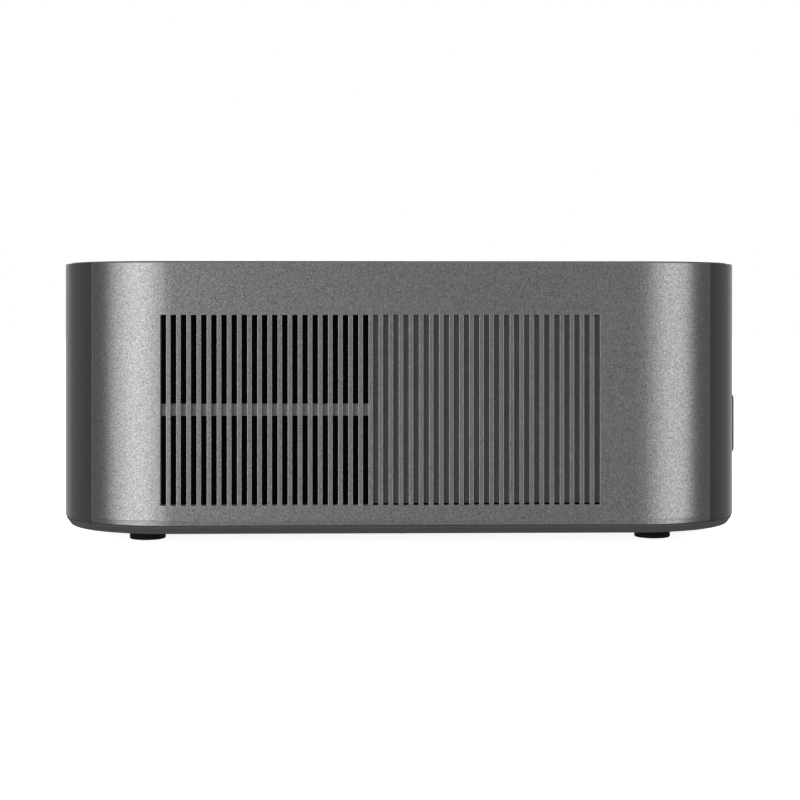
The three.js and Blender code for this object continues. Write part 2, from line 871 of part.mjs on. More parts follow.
function coverRack() {
  const pitch = Math.PI * gear_module;
  const addendum = gear_module * tooth_addendum_share;
  const dedendum = gear_module * tooth_dedendum_share;
  const slope = Math.tan(pressure_angle);
  const half = pitch / 4 - tooth_play / 2;
  const first = Math.ceil((rack_front_y - pinion_y) / pitch);
  const points = [];
  const start = pinion_y + first * pitch;
  const teeth = Math.floor((light_opening_rear - rack_rear_margin - start) / pitch);
  for (let i = 0; i < teeth; i += 1) {
    const middle = start + (i + 0.5) * pitch;
    points.push(
      [rack_line_x + dedendum, middle - half - dedendum * slope],
      [rack_line_x - addendum, middle - half + addendum * slope],
      [rack_line_x - addendum, middle + half - addendum * slope],
      [rack_line_x + dedendum, middle + half + dedendum * slope],
    );
  }
  const end = start + teeth * pitch;
  const back = rack_line_x + rack_back;
  points.push([rack_line_x + dedendum, end], [back, end], [back, start], [rack_line_x + dedendum, start]);
  return prism(points.reverse(), rack_top - rack_height, rack_top);
}

function coverPinion() {
  const low = rack_top - rack_height;
  const gear = prism(gearOutline(pinion_tooth_count), low, low + pinion_height);
  const bore = clearBore(motor_shaft_radius + piece_gap, low - cut_overrun, rack_top, small_side_count);
  return cut(gear, bore).translate(pinion_x, pinion_y, 0);
}

function coverMotor() {
  const top = plate_bottom - piece_gap - rail_depth - piece_gap;
  const can = rod(motor_radius, top - motor_flange - motor_length, top - motor_flange / 2);
  const shaft = rod(motor_shaft_radius, top - motor_flange / 2, rack_top - piece_gap, small_side_count);
  const reach = cover_half_width + rail_width / 2 - pinion_x;
  const flange = prism(roundedRectangle(-motor_flange_half_width, reach, -motor_flange_half_width,
    motor_flange_half_width, motor_flange_half_width / 2), top - motor_flange, top);
  return join(can, shaft, flange).translate(pinion_x, pinion_y, 0);
}

// Light well with its glass. Its foot and the glass lean with the beam.

function wellLevel(inset, drop, extra = 0) {
  const half = light_opening_width / 2 - inset;
  const points = roundedRectangle(-half, half, light_opening_front + inset, light_opening_rear - inset,
    well_corner);
  const top = well_top - extra;
  return points.map(([x, y]) => [x, y, top - drop + (drop > 0 ? y * well_tilt : 0)]);
}

function lightWell() {
  const foot = well_taper + well_margin;
  const outside = loft([wellLevel(foot - well_wall, well_depth), wellLevel(well_margin - well_wall, 0)]);
  const inside = loft([wellLevel(foot, well_depth + cut_overrun), wellLevel(well_margin, 0, -cut_overrun)]);
  const half = light_opening_width / 2;
  const rimLeft = -(cover_half_width - rail_ledge - piece_gap);
  const rim = prism(roundedRectangle(rimLeft, half + well_margin, light_opening_front - well_margin,
    light_opening_rear + well_margin, well_corner), well_top - well_rim, well_top);
  return cut(join(outside, rim), inside);
}

function exitGlass() {
  const inset = well_taper + well_margin - glass_lap;
  const drop = well_depth + piece_gap;
  return loft([wellLevel(inset, drop + glass_thickness), wellLevel(inset, drop)]);
}

// A bowed sheet over a rectangle: the face is y = face(x, z), with the body behind it towards -Y.
function bowedSheet(halfWide, bottom, top, face, thickness) {
  const steps = mirror_step_count;
  const rings = [];
  for (let row = 0; row <= steps; row += 1) {
    const z = bottom + (top - bottom) * row / steps;
    const front = [];
    for (let column = 0; column <= steps; column += 1) {
      const x = -halfWide + 2 * halfWide * column / steps;
      front.push([x, face(x, z), z]);
    }
    const back = front.map(([x, y, level]) => [x, y - thickness, level]);
    rings.push([...back, ...front.reverse()]);
  }
  return loft(rings);
}

function mirrorFace(x, z) {
  const above = z - mirror_bottom;
  const bow = x * x / (2 * mirror_bow_radius);
  const rise = above * above / (2 * mirror_rise_radius);
  return mirror_y + bow + rise - above * mirror_lean;
}

function curvedMirror() {
  const top = mirror_bottom + mirror_height;
  return bowedSheet(mirror_half_width, mirror_bottom, top, mirrorFace, mirror_thickness);
}

function mirrorBracket() {
  const behind = (x, z) => mirrorFace(x, z) - mirror_thickness - piece_gap;
  const cradle = bowedSheet(bracket_half_width, mirror_bottom, mirror_bottom + mirror_height, behind,
    bracket_thickness);
  const front = behind(0, mirror_bottom);
  const leg = block(-bracket_half_width, bracket_half_width, front - bracket_leg,
    front - bracket_thickness / 2, seat_z, mirror_bottom + bracket_thickness);
  const window = block(-bracket_half_width / 2, bracket_half_width / 2, front - bracket_leg - cut_overrun,
    front + cut_overrun, seat_z + bracket_leg, mirror_bottom - bracket_leg / 2);
  return cut(join(cradle, leg), window);
}

// Lens, focus ring and focus drive, all turned about the optical axis along Y.

function onAxis(geometry, x = 0) {
  return alongY(geometry.translate(lens_z, x, 0));
}

function lensBarrel() {
  const rear = engine_front_y - piece_gap;
  const ringRear = ring_y + ring_length + focus_play;
  const [middleShare, edgeShare] = barrel_glass_depth_shares;
  const profile = [
    [0, barrel_front_y + barrel_bore_depth * middleShare],
    [barrel_bore_radius * barrel_glass_radius_share, barrel_front_y + barrel_bore_depth * edgeShare],
    [barrel_bore_radius, barrel_front_y + barrel_bore_depth],
    [barrel_bore_radius, barrel_front_y],
    [barrel_front_radius, barrel_front_y],
    [barrel_front_radius, ring_y - focus_play],
    [barrel_ring_radius, ring_y - focus_play],
    [barrel_ring_radius, ringRear],
    [barrel_rear_radius, ringRear],
    [barrel_rear_radius, rear - barrel_flange_length],
    [barrel_flange_radius, rear - barrel_flange_length],
    [barrel_flange_radius, rear],
    [0, rear],
  ];
  return onAxis(turned(profile));
}

const ring_pitch_radius = gear_module * ring_tooth_count / 2;
const focus_radius = gear_module * focus_tooth_count / 2;

function focusRing() {
  const root = ring_pitch_radius - gear_module * tooth_dedendum_share;
  const points = [];
  const span = (ring_sector_tooth_count - 1) / 2;
  const step = 2 * Math.PI / ring_tooth_count;
  // The teeth face the focus gear, whose place is along -X, so the sector is centred a quarter turn back.
  for (let i = -span; i <= span; i += 1) {
    points.push(...tooth(ring_tooth_count, -Math.PI / 2 + i * step));
  }
  const from = -Math.PI / 2 + (span + 1) * step;
  const rest = 2 * Math.PI - 2 * (span + 1) * step;
  for (let i = 0; i <= round_side_count; i += 1) {
    const angle = from + rest * i / round_side_count;
    points.push([root * Math.cos(angle), root * Math.sin(angle)]);
  }
  const ring = prism(points, ring_y, ring_y + ring_length);
  const bore = clearBore(barrel_ring_radius + piece_gap, ring_y - cut_overrun,
    ring_y + ring_length + cut_overrun);
  return onAxis(cut(ring, bore));
}

const focus_x = -(ring_pitch_radius + focus_radius);

function focusGear() {
  // A gap of the gear faces the middle tooth of the ring.
  const turn = Math.PI / 2 + Math.PI / focus_tooth_count;
  const gear = prism(gearOutline(focus_tooth_count), ring_y, ring_y + ring_length).rotateZ(turn);
  const bore = clearBore(motor_shaft_radius + piece_gap, ring_y - cut_overrun,
    ring_y + ring_length + cut_overrun, small_side_count);
  return onAxis(cut(gear, bore), focus_x);
}

function focusMotor() {
  const front = ring_y + ring_length + focus_play;
  const profile = [
    [0, ring_y],
    [motor_shaft_radius, ring_y],
    [motor_shaft_radius, front],
    [focus_motor_radius, front],
    [focus_motor_radius, engine_front_y - piece_gap],
    [0, engine_front_y - piece_gap],
  ];
  return onAxis(turned(profile, foot_side_count), focus_x);
}

// Optical engine with its neighbours.

function engineHousing() {
  const outline = (inset) => roundedRectangle(-engine_half_width + inset, engine_half_width - inset,
    engine_front_y + inset, engine_rear_y - inset, engine_corner);
  const body = loft([
    atLevel(outline(engine_lid_lap), engine_bottom),
    atLevel(outline(engine_lid_lap), engine_bottom + engine_lid),
    atLevel(outline(0), engine_bottom + engine_lid),
    atLevel(outline(0), engine_top - engine_lid),
    atLevel(outline(engine_lid_lap), engine_top - engine_lid),
    atLevel(outline(engine_lid_lap), engine_top),
  ]);
  const legs = [];
  for (const x of [-engine_half_width + engine_leg_inset, engine_half_width - engine_leg_inset]) {
    for (const y of [engine_front_y + engine_leg_inset, engine_rear_y - engine_leg_inset]) {
      const leg = rod(engine_leg_radius, seat_z, engine_bottom + engine_lid / 2, small_side_count);
      legs.push(leg.translate(x, y, 0));
    }
  }
  return join(body, ...legs);
}

// A comb of fins in the plane across the air flow: fins stand up from the base along the second axis.
function comb(count, pitch, fin, base, height) {
  const points = [[0, 0], [(count - 1) * pitch + fin, 0]];
  for (let i = count - 1; i >= 0; i -= 1) {
    points.push([i * pitch + fin, height], [i * pitch, height]);
    if (i > 0) {
      points.push([i * pitch, base], [(i - 1) * pitch + fin, base]);
    }
  }
  return points;
}

function chipHeatSink() {
  const face = engine_half_width + piece_gap;
  const board = block(face, face + chip_board_thickness, engine_front_y + chip_board_margin,
    engine_rear_y - chip_board_margin, engine_bottom + chip_board_margin, engine_top - chip_board_margin);
  const outline = comb(chip_fin_count, fin_pitch, fin_thickness, sink_base, chip_sink_depth);
  const wide = (chip_fin_count - 1) * fin_pitch + fin_thickness;
  const base = face + chip_board_thickness;
  const fins = prism(outline.map(([a, b]) => [base + b, engine_middle_y + wide / 2 - a]),
    engine_bottom + 2 * chip_board_margin, engine_top - 2 * chip_board_margin);
  const core = block(base - chip_board_thickness / 2, base + sink_base / 2,
    engine_middle_y - wide / 2 + fin_pitch, engine_middle_y + wide / 2 - fin_pitch,
    engine_bottom + 3 * chip_board_margin, engine_top - 3 * chip_board_margin);
  return join(board, fins, core);
}

const wheel_x = -engine_half_width - wheel_clearance;
const motor_face_x = wheel_x - wheel_thickness - wheel_hub_length - piece_gap;
const laser_face_x = motor_face_x - wheel_motor_length - piece_gap;
const pipe_run_x = -sink_outer_x + sink_width / 2;
const laser_outer_x = pipe_run_x + pipe_bend + laser_pipe_lead;

function acrossX(geometry) {
  return alongX(geometry.translate(engine_middle_y, lens_z, 0));
}

function colourWheel() {
  const profile = [
    [0, wheel_x - wheel_thickness - wheel_hub_length],
    [wheel_hub_radius, wheel_x - wheel_thickness - wheel_hub_length],
    [wheel_hub_radius, wheel_x - wheel_thickness],
    [wheel_radius, wheel_x - wheel_thickness],
    [wheel_radius, wheel_x],
    [0, wheel_x],
  ];
  return acrossX(turned(profile, foot_side_count));
}

function wheelMotor() {
  return acrossX(rod(wheel_motor_radius, motor_face_x - wheel_motor_length, motor_face_x, foot_side_count));
}

function laserBank() {
  const front = engine_front_y + laser_margin;
  const rear = engine_rear_y - laser_margin;
  const bottom = lens_z - laser_height / 2;
  const top = lens_z + laser_height / 2;
  const body = block(laser_outer_x, laser_face_x, front, rear, bottom, top);
  const foot = block(laser_outer_x + laser_leg, laser_face_x - laser_leg, front + laser_leg, rear - laser_leg,
    seat_z, bottom + laser_leg / 2);
  const cans = [];
  for (let row = 0; row < laser_row_count; row += 1) {
    for (let column = 0; column < laser_column_count; column += 1) {
      const x = laser_outer_x + (laser_face_x - laser_outer_x) * (column + 0.5) / laser_column_count;
      const y = front + (rear - front) * (row + 0.5) / laser_row_count;
      const can = rod(laser_can_radius, top - laser_can_length, top + laser_can_length, laser_can_side_count);
      cans.push(can.translate(x, y, 0));
    }
  }
  return join(body, foot, ...cans);
}

function leftHeatSink() {
  const wide = (sink_fin_count - 1) * sink_pitch + sink_fin;
  const outline = comb(sink_fin_count, sink_pitch, sink_fin, sink_base, fan_size);
  const fins = prism(outline.map(([a, b]) => [fan_centre_y - wide / 2 + a, seat_z + b]), -sink_outer_x,
    -sink_outer_x + sink_width);
  return alongX(fins);
}

// A heat pipe leaves the laser bank, bends forwards and ends at the rearmost fin.
function heatPipe(level) {
  const startX = laser_outer_x - piece_gap;
  const sinkRear = fan_centre_y + ((sink_fin_count - 1) * sink_pitch + sink_fin) / 2 + piece_gap;
  const path = new THREE.CurvePath();
  const start = new THREE.Vector3(startX, engine_middle_y, level);
  const corner = new THREE.Vector3(pipe_run_x, engine_middle_y, level);
  const before = new THREE.Vector3(pipe_run_x + pipe_bend, engine_middle_y, level);
  const after = new THREE.Vector3(pipe_run_x, engine_middle_y - pipe_bend, level);
  const end = new THREE.Vector3(pipe_run_x, sinkRear, level);
  path.add(new THREE.LineCurve3(start, before));
  path.add(new THREE.QuadraticBezierCurve3(before, corner, after));
  path.add(new THREE.LineCurve3(after, end));
  const section = new THREE.Shape();
  for (let i = 0; i < pipe_side_count; i += 1) {
    const angle = 2 * Math.PI * i / pipe_side_count;
    const point = [pipe_radius * Math.cos(angle), pipe_radius * Math.sin(angle)];
    section[i === 0 ? 'moveTo' : 'lineTo'](...point);
  }
  section.closePath();
  return new THREE.ExtrudeGeometry(section, { extrudePath: path, steps: pipe_step_count });
}

// Fans. Both are drawn for the right side, with the rotor's axis along X, and mirrored for the left.

const fan_centre_z = seat_z + fan_size / 2;
const fan_back_x = fan_outer_x - fan_depth;

function fanPlace(geometry, side) {
  const put = alongX(geometry.translate(fan_centre_y, fan_centre_z, 0));
  return side > 0 ? put : geometryOf(solidOf(put).mirror([1, 0, 0]));
}

function fanFrame(side) {
  const half = fan_size / 2;
  const outline = roundedRectangle(-half, half, -half, half, fan_corner, fan_corner_step_count);
  const square = prism(outline, fan_back_x, fan_outer_x);
  const bore = rod(fan_bore_radius, fan_back_x - cut_overrun, fan_outer_x + cut_overrun, fan_bore_side_count);
  const seat = rod(fan_hub_radius, fan_back_x, fan_back_x + fan_strut_depth, foot_side_count);
  const struts = [];
  for (let i = 0; i < fan_strut_count; i += 1) {
    const strut = block(-fan_strut_width / 2, fan_strut_width / 2, 0, fan_bore_radius + cut_overrun,
      fan_back_x, fan_back_x + fan_strut_depth);
    struts.push(strut.rotateZ(2 * Math.PI * i / fan_strut_count));
  }
  return fanPlace(join(cut(square, bore), seat, ...struts), side);
}

// A cambered blade with flat faces: three sections, each shifted along the way that the rotor turns.
function fanBlade() {
  const half = fan_blade_thickness / 2;
  const inner = Math.sqrt(fan_hub_radius ** 2 - fan_blade_sweep ** 2) - fan_blade_thickness;
  const outer = Math.sqrt((fan_bore_radius - fan_play) ** 2 - (fan_blade_sweep + half) ** 2);
  const low = fan_back_x + fan_strut_depth + fan_blade_inset;
  const high = fan_outer_x - fan_blade_inset;
  const sections = [[-fan_blade_sweep, low], [-fan_blade_camber, (low + high) / 2], [fan_blade_sweep, high]];
  return loft(sections.map(([shift, z]) => atLevel([[inner, shift - half], [outer, shift - half],
    [outer, shift + half], [inner, shift + half]], z)));
}

function fanRotor(side) {
  const low = fan_back_x + fan_strut_depth + fan_motor_gap;
  const shoulder = fan_outer_x - fan_blade_inset;
  const face = fan_outer_x - fan_blade_inset / 2;
  const hub = turned([[0, low], [fan_hub_radius, low], [fan_hub_radius, shoulder],
    [fan_hub_radius - fan_blade_inset, face], [0, face]]);
  const blades = [];
  for (let i = 0; i < fan_blade_count; i += 1) {
    blades.push(fanBlade().rotateZ(2 * Math.PI * i / fan_blade_count));
  }
  return fanPlace(join(hub, ...blades), side);
}

// Circuit boards on the standoffs of the tray.

function mainBoard() {
  const { x0, x1, y0, y1 } = main_board;
  const board = block(x0, x1, y0, y1, board_z, board_z + board_thickness);
  const chipX = x0 + (x1 - x0) * chip_place_share;
  const chipY = (y0 + y1) / 2;
  const chipFront = chipY - chip_side / 2;
  const low = board_z + board_thickness / 2;
  const pitch = chip_side / (chip_fins - 1);
  const outline = comb(chip_fins, pitch, fin_thickness, sink_base, chip_sink_height);
  const sink = alongX(prism(outline.map(([a, b]) => [chipFront + a, low + b]),
    chipX - chip_side / 2, chipX + chip_side / 2));
  const memoryOffset = (y1 - y0) * memory_place_share;
  const memory = [-1, 1].map((way) => block(chipX - chip_side / 2, chipX - chip_side / 4,
    chipY + way * memoryOffset - fin_pitch, chipY + way * memoryOffset + fin_pitch, low,
    board_z + 2 * board_thickness));
  return join(board, sink, ...memory);
}

function powerBoard() {
  const { x0, x1, y0, y1 } = power_board;
  const top = board_z + board_thickness;
  const board = block(x0, x1, y0, y1, board_z, top);
  const middleX = (x0 + x1) / 2;
  const middleY = (y0 + y1) / 2;
  const core = block(middleX - transformer_width / 2, middleX + transformer_width / 2,
    middleY - transformer_width / 2, middleY + transformer_width / 2, top - board_thickness / 2,
    top + transformer_height);
  const low = top - board_thickness / 2;
  const winding = rod(transformer_width * winding_radius_share, low,
    top + transformer_height * winding_height_share, can_side_count);
  const canX = x1 - capacitor_radius - standoff_inset * 2;
  const cans = [-1, 0, 1].map((way) => rod(capacitor_radius, low, top + capacitor_height, can_side_count)
    .translate(canX, middleY + way * capacitor_pitch, 0));
  return join(board, core, winding.translate(middleX, middleY, 0), ...cans);
}

function connectorBoard() {
  const front = bezel_floor_y + socket_proud - socket_depth - piece_gap - board_thickness;
  const left = network_socket_x - network_socket_width / 2 - connector_board_margin;
  const right = picture_socket_x[0] + picture_socket_width / 2 + connector_board_margin;
  return block(left, right, front, front + board_thickness, connector_board_bottom, connector_board_top);
}

// Sockets: a metal or moulded shell, open to the rear, with its tongue or blades set back.

function socket(x, width, height, edge, depth, cavity, tongues) {
  const mouth = bezel_floor_y + socket_proud;
  const body = block(x - width / 2, x + width / 2, mouth - depth, mouth, socket_z - height / 2,
    socket_z + height / 2);
  const hollow = block(x - width / 2 + edge, x + width / 2 - edge, mouth - cavity, mouth + cut_overrun,
    socket_z - height / 2 + edge, socket_z + height / 2 - edge);
  return join(cut(body, hollow), ...tongues.map((tongue) => tongue(mouth, mouth - cavity)));
}

function tongueBar(x, width, level) {
  return (mouth, floor) => block(x - width / 2, x + width / 2, floor - socket_wall / 2,
    mouth - tongue_setback, level - tongue_thickness / 2, level + tongue_thickness / 2);
}

function pictureSocket(x) {
  return socket(x, picture_socket_width, picture_socket_height, socket_wall, socket_depth,
    socket_depth - socket_wall, [tongueBar(x, picture_tongue_width, socket_z)]);
}

function dataSocket() {
  return socket(data_socket_x, data_socket_width, data_socket_height, socket_wall, socket_depth,
    socket_depth - socket_wall, [tongueBar(data_socket_x, data_tongue_width, socket_z + socket_wall)]);
}

function networkSocket() {
  const level = socket_z + network_socket_height / 2 - network_tongue_drop;
  return socket(network_socket_x, network_socket_width, network_socket_height, network_socket_wall,
    socket_depth, socket_depth - socket_wall, [tongueBar(network_socket_x, network_socket_width / 2, level)]);
}

function mainsInlet() {
  const rise = blade_setback / 4;
  const blades = [[-blade_spread, -rise], [0, rise], [blade_spread, -rise]];
  const tongues = blades.map(([across, up]) => (mouth, floor) => block(mains_x + across - blade_width / 2,
    mains_x + across + blade_width / 2, floor - mains_wall / 2, mouth - blade_setback,
    socket_z + up - blade_height / 2, socket_z + up + blade_height / 2));
  return socket(mains_x, mains_width, mains_height, mains_wall, mains_depth, mains_cavity, tongues);
}

// Loudspeakers.

const box_outer_x = box_inner_x + box_width;
const woofer_x = box_inner_x + woofer_side_inset;
const tweeter_x = box_outer_x - tweeter_side_inset;

function speakerPlace(geometry, side, x, z) {
  return alongY(geometry.translate(z, side * x, 0));
}

function speakerBox(side) {
  const [x0, x1] = side > 0 ? [box_inner_x, box_outer_x] : [-box_outer_x, -box_inner_x];
  const outline = roundedRectangle(x0, x1, box_front_y, box_front_y + box_depth, box_corner);
  const body = prism(outline, seat_z, box_top);
  const well = rod(woofer_radius + piece_gap, box_front_y - cut_overrun,
    box_front_y + woofer_seat_depth + woofer_cone_depth);
  const high = turned([
    [0, box_front_y - cut_overrun],
    [tweeter_radius, box_front_y - cut_overrun],
    [tweeter_radius, box_front_y],
    [tweeter_radius * tweeter_dome_shares[0], box_front_y + tweeter_depth],
    [tweeter_radius * tweeter_dome_shares[1], box_front_y + tweeter_depth / 2],
    [0, box_front_y + tweeter_depth / 4],
  ], foot_side_count);
  return cut(body, speakerPlace(well, side, woofer_x, woofer_z),
    speakerPlace(high, side, tweeter_x, box_top - tweeter_drop));
}

function woofer(side) {
  const front = box_front_y;
  const seat = box_front_y + woofer_seat_depth + woofer_cone_depth - piece_gap;
  const cone = front + woofer_cone_depth;
  const profile = [
    [0, cone - woofer_cap_radius / 2],
    [woofer_cap_radius * woofer_cap_share, cone - woofer_cap_radius / 3],
    [woofer_cap_radius, cone],
    [woofer_radius - woofer_rim * woofer_rim_shares[0], front + woofer_rim / 2],
    [woofer_radius - woofer_rim * woofer_rim_shares[1], front + woofer_rim / 6],
    [woofer_radius - woofer_rim * woofer_rim_shares[2], front + woofer_rim / 2],
    [woofer_radius - woofer_rim / 2, front],
    [woofer_radius, front],
    [woofer_radius, seat],
    [0, seat],
  ];
  return speakerPlace(turned(profile), side, woofer_x, woofer_z);
}

// Feet: a threaded stem in the tray's boss, with a pad that turns with it.

const pad_top = foot_clearance - foot_shoulder;
const stem_foot = pad_top - stem_socket + piece_gap;

function footStem(x, y) {
  return rod(stem_radius, stem_foot, stem_foot + stem_length, small_side_count).translate(x, y, 0);
}

function footPad(x, y) {
  const profile = [
    [0, 0],
    [foot_radius - foot_round, 0],
    [foot_radius, foot_round],
    [foot_radius, pad_top],
    [stem_radius + piece_gap, pad_top],
    [stem_radius + piece_gap, pad_top - stem_socket],
    [0, pad_top - stem_socket],
  ];
  return turned(profile, foot_side_count).translate(x, y, 0);
}

place('base_tray', baseTray(), tray_plastic);
place('right_side_panel', sidePanel(1), paint);
place('left_side_panel', sidePanel(-1), paint);
place('front_cover', frontCover(), satin);
place('rear_cover', rearCover(), satin);
place('speaker_grille', speakerGrille(), satin);
place('ir_window', receiverWindow(), glass);
place('io_bezel', socketBezel(), black);
place('power_button', powerButton(), satin);
place('top_plate', topPlate(), satin);
place('light_well', lightWell(), black);
place('exit_glass', exitGlass(), glass);
place('lens_cover', lensCover(), satin);
place('cover_rack', coverRack(), nylon);
place('cover_pinion', coverPinion(), nylon);
place('cover_motor', coverMotor(), steel);
place('mirror', curvedMirror(), silver);
place('mirror_bracket', mirrorBracket(), aluminium);
place('lens_barrel', lensBarrel(), black);
place('focus_ring', focusRing(), black);
place('focus_gear', focusGear(), nylon);
place('focus_motor', focusMotor(), steel);
place('engine_housing', engineHousing(), aluminium);
place('chip_heat_sink', chipHeatSink(), aluminium);
place('colour_wheel', colourWheel(), silver);
place('wheel_motor', wheelMotor(), steel);
place('laser_bank', laserBank(), aluminium);
place('left_heat_sink', leftHeatSink(), aluminium);
place('upper_heat_pipe', heatPipe(lens_z + pipe_rise), copper);
place('lower_heat_pipe', heatPipe(lens_z - pipe_rise), copper);
place('main_board', mainBoard(), board_green);
place('power_board', powerBoard(), board_green);
place('io_board', connectorBoard(), board_green);
place('ac_inlet', mainsInlet(), black);
picture_socket_x.forEach((x, i) => place(`picture_socket_${i + 1}`, pictureSocket(x), steel));
place('data_socket', dataSocket(), steel);
place('network_socket', networkSocket(), steel);
for (const [side, name] of [[1, 'right'], [-1, 'left']]) {
  place(`${name}_vent_frame`, ventFrame(side), tray_plastic);
  place(`${name}_vent_screen`, ventScreen(side), black);
  place(`${name}_cover_rail`, coverRail(side), nylon);
  place(`${name}_fan_frame`, fanFrame(side), black);
  place(`${name}_fan_rotor`, fanRotor(side), black);
  place(`${name}_speaker_box`, speakerBox(side), black);
  place(`${name}_woofer`, woofer(side), black);
  for (const [end, word] of [[-1, 'front'], [1, 'rear']]) {
    place(`${name}_${word}_foot_stem`, footStem(side * foot_x, end * foot_y), steel);
    place(`${name}_${word}_foot_pad`, footPad(side * foot_x, end * foot_y), rubber);
  }
}

export default assembly;
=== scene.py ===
import math

import bmesh
import bpy
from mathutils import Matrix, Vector
from mathutils.geometry import tessellate_polygon


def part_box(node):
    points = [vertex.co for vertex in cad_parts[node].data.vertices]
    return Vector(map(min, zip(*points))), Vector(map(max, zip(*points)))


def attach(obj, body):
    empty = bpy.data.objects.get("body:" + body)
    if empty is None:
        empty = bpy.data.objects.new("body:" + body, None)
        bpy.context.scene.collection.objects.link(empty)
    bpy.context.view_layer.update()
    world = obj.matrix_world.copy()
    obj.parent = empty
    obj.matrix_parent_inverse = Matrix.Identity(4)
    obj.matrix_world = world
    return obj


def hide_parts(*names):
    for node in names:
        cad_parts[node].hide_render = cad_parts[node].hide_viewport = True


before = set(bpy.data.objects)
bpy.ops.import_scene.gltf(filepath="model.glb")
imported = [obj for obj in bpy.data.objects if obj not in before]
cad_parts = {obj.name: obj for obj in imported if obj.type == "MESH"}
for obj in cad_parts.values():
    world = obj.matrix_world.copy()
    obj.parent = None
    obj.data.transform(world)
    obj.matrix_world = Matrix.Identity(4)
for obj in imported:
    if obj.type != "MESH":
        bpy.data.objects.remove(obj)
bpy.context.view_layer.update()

scene = bpy.context.scene
scene.view_settings.view_transform = "Standard"

# The view
# The camera looks level at the right side from just ahead of its middle, a little below the top.
# Its shift keeps the projector where the photograph's frame has it.
focal_length, film_width = 74.1, 36.0
shift_right, shift_up = -0.0034, -0.1149
camera_place, camera_turn = (1.1495, -0.0215, 0.1312), 88.63
lens = bpy.data.cameras.new("camera")
lens.lens = focal_length
lens.sensor_width = film_width
lens.shift_x = shift_right
lens.shift_y = shift_up
camera = bpy.data.objects.new("camera", lens)
camera.location = camera_place
camera.rotation_euler = (math.radians(90), 0, math.radians(camera_turn))
scene.collection.objects.link(camera)
scene.camera = camera


# The studio
# A white room: a pale floor, a white surround, tall soft boxes on both sides and one overhead.
# The white is in the colours of floor and surround, so the lamps stay at a plain level.
def put(tree, kind, inputs=None, **settings):
    """Adds one shader node, sets it up, and wires or fills its inputs."""
    made = tree.nodes.new("ShaderNode" + kind)
    for key, value in settings.items():
        setattr(made, key, value)
    for key, value in (inputs or {}).items():
        if isinstance(value, bpy.types.NodeSocket):
            tree.links.new(value, made.inputs[key])
        else:
            made.inputs[key].default_value = value
    return made


def math_node(tree, operation, first, second=0.0, third=0.0, clamp=False):
    return put(tree, "Math", {0: first, 1: second, 2: third}, operation=operation,
               use_clamp=clamp).outputs[0]


fill_light = 0.55
room = bpy.data.worlds.new("room")
scene.world = room
room.use_nodes = True
tree = room.node_tree
tree.nodes.clear()
seen_as = put(tree, "LightPath").outputs
seen = math_node(tree, "MAXIMUM", seen_as["Is Camera Ray"], seen_as["Is Glossy Ray"])
seen = math_node(tree, "MAXIMUM", seen, seen_as["Is Transmission Ray"])
strength = put(tree, "MapRange", {"Value": seen, "To Min": fill_light, "To Max": 1.0}).outputs[0]
white = put(tree, "Background", {"Color": (1, 1, 1, 1), "Strength": strength})
put(tree, "OutputWorld", {"Surface": white.outputs[0]})


def blank_material(name):
    made = bpy.data.materials.new(name)
    made.use_nodes = True
    made.node_tree.nodes.clear()
    return made, made.node_tree


paper, tree = blank_material("white_paper")
seen_as = put(tree, "LightPath").outputs
flecks = put(tree, "TexNoise", {"Scale": 40.0, "Detail": 3.0})
shade = put(tree, "MapRange", {"Value": flecks.outputs[0], "To Min": 0.84, "To Max": 0.88})
matt = put(tree, "BsdfDiffuse", {"Color": shade.outputs[0]})
glow = math_node(tree, "MULTIPLY", seen_as["Is Camera Ray"], 0.9)
lit = put(tree, "Emission", {"Color": (1, 1, 1, 1), "Strength": glow})
both = put(tree, "AddShader", {0: matt.outputs[0], 1: lit.outputs[0]})
put(tree, "OutputMaterial", {"Surface": both.outputs[0]})

floor_half = 6.0
bm = bmesh.new()
bmesh.ops.create_grid(bm, x_segments=4, y_segments=4, size=floor_half)
floor_mesh = bpy.data.meshes.new("floor")
bm.to_mesh(floor_mesh)
bm.free()
floor_mesh.materials.append(paper)
floor = bpy.data.objects.new("floor", floor_mesh)
floor.visible_glossy = False
floor.visible_shadow = False
scene.collection.objects.link(floor)


def soft_box(name, place, aim, width, height, radiance):
    """A flat lamp. Radiance is how bright its face looks, with white paper at 1."""
    lamp = bpy.data.lights.new(name, "AREA")
    lamp.shape = "RECTANGLE"
    lamp.size = width
    lamp.size_y = height
    lamp.energy = radiance * math.pi * width * height
    holder = bpy.data.objects.new(name, lamp)
    holder.location = place
    toward = Vector(aim) - Vector(place)
    holder.rotation_euler = toward.to_track_quat("-Z", "Y").to_euler()
    scene.collection.objects.link(holder)


corner_x, corner_y, lamp_middle, lamp_height = 0.235, 0.15, 0.1, 2.4


def standing_box(name, side_x, side_y, low, high, distance, radiance):
    """A tall soft box that fills the directions from low to high degrees, seen from a corner of the
    housing. Zero degrees is straight out of that side, and more turns to the corner's own end."""
    middle = math.radians((low + high) / 2)
    half = math.radians((high - low) / 2)
    out = Vector((side_x * math.cos(middle), side_y * math.sin(middle), 0))
    start = Vector((side_x * corner_x, side_y * corner_y, lamp_middle))
    width = 2 * distance * math.tan(half)
    soft_box(name, start + out * distance, start, width, lamp_height, radiance)


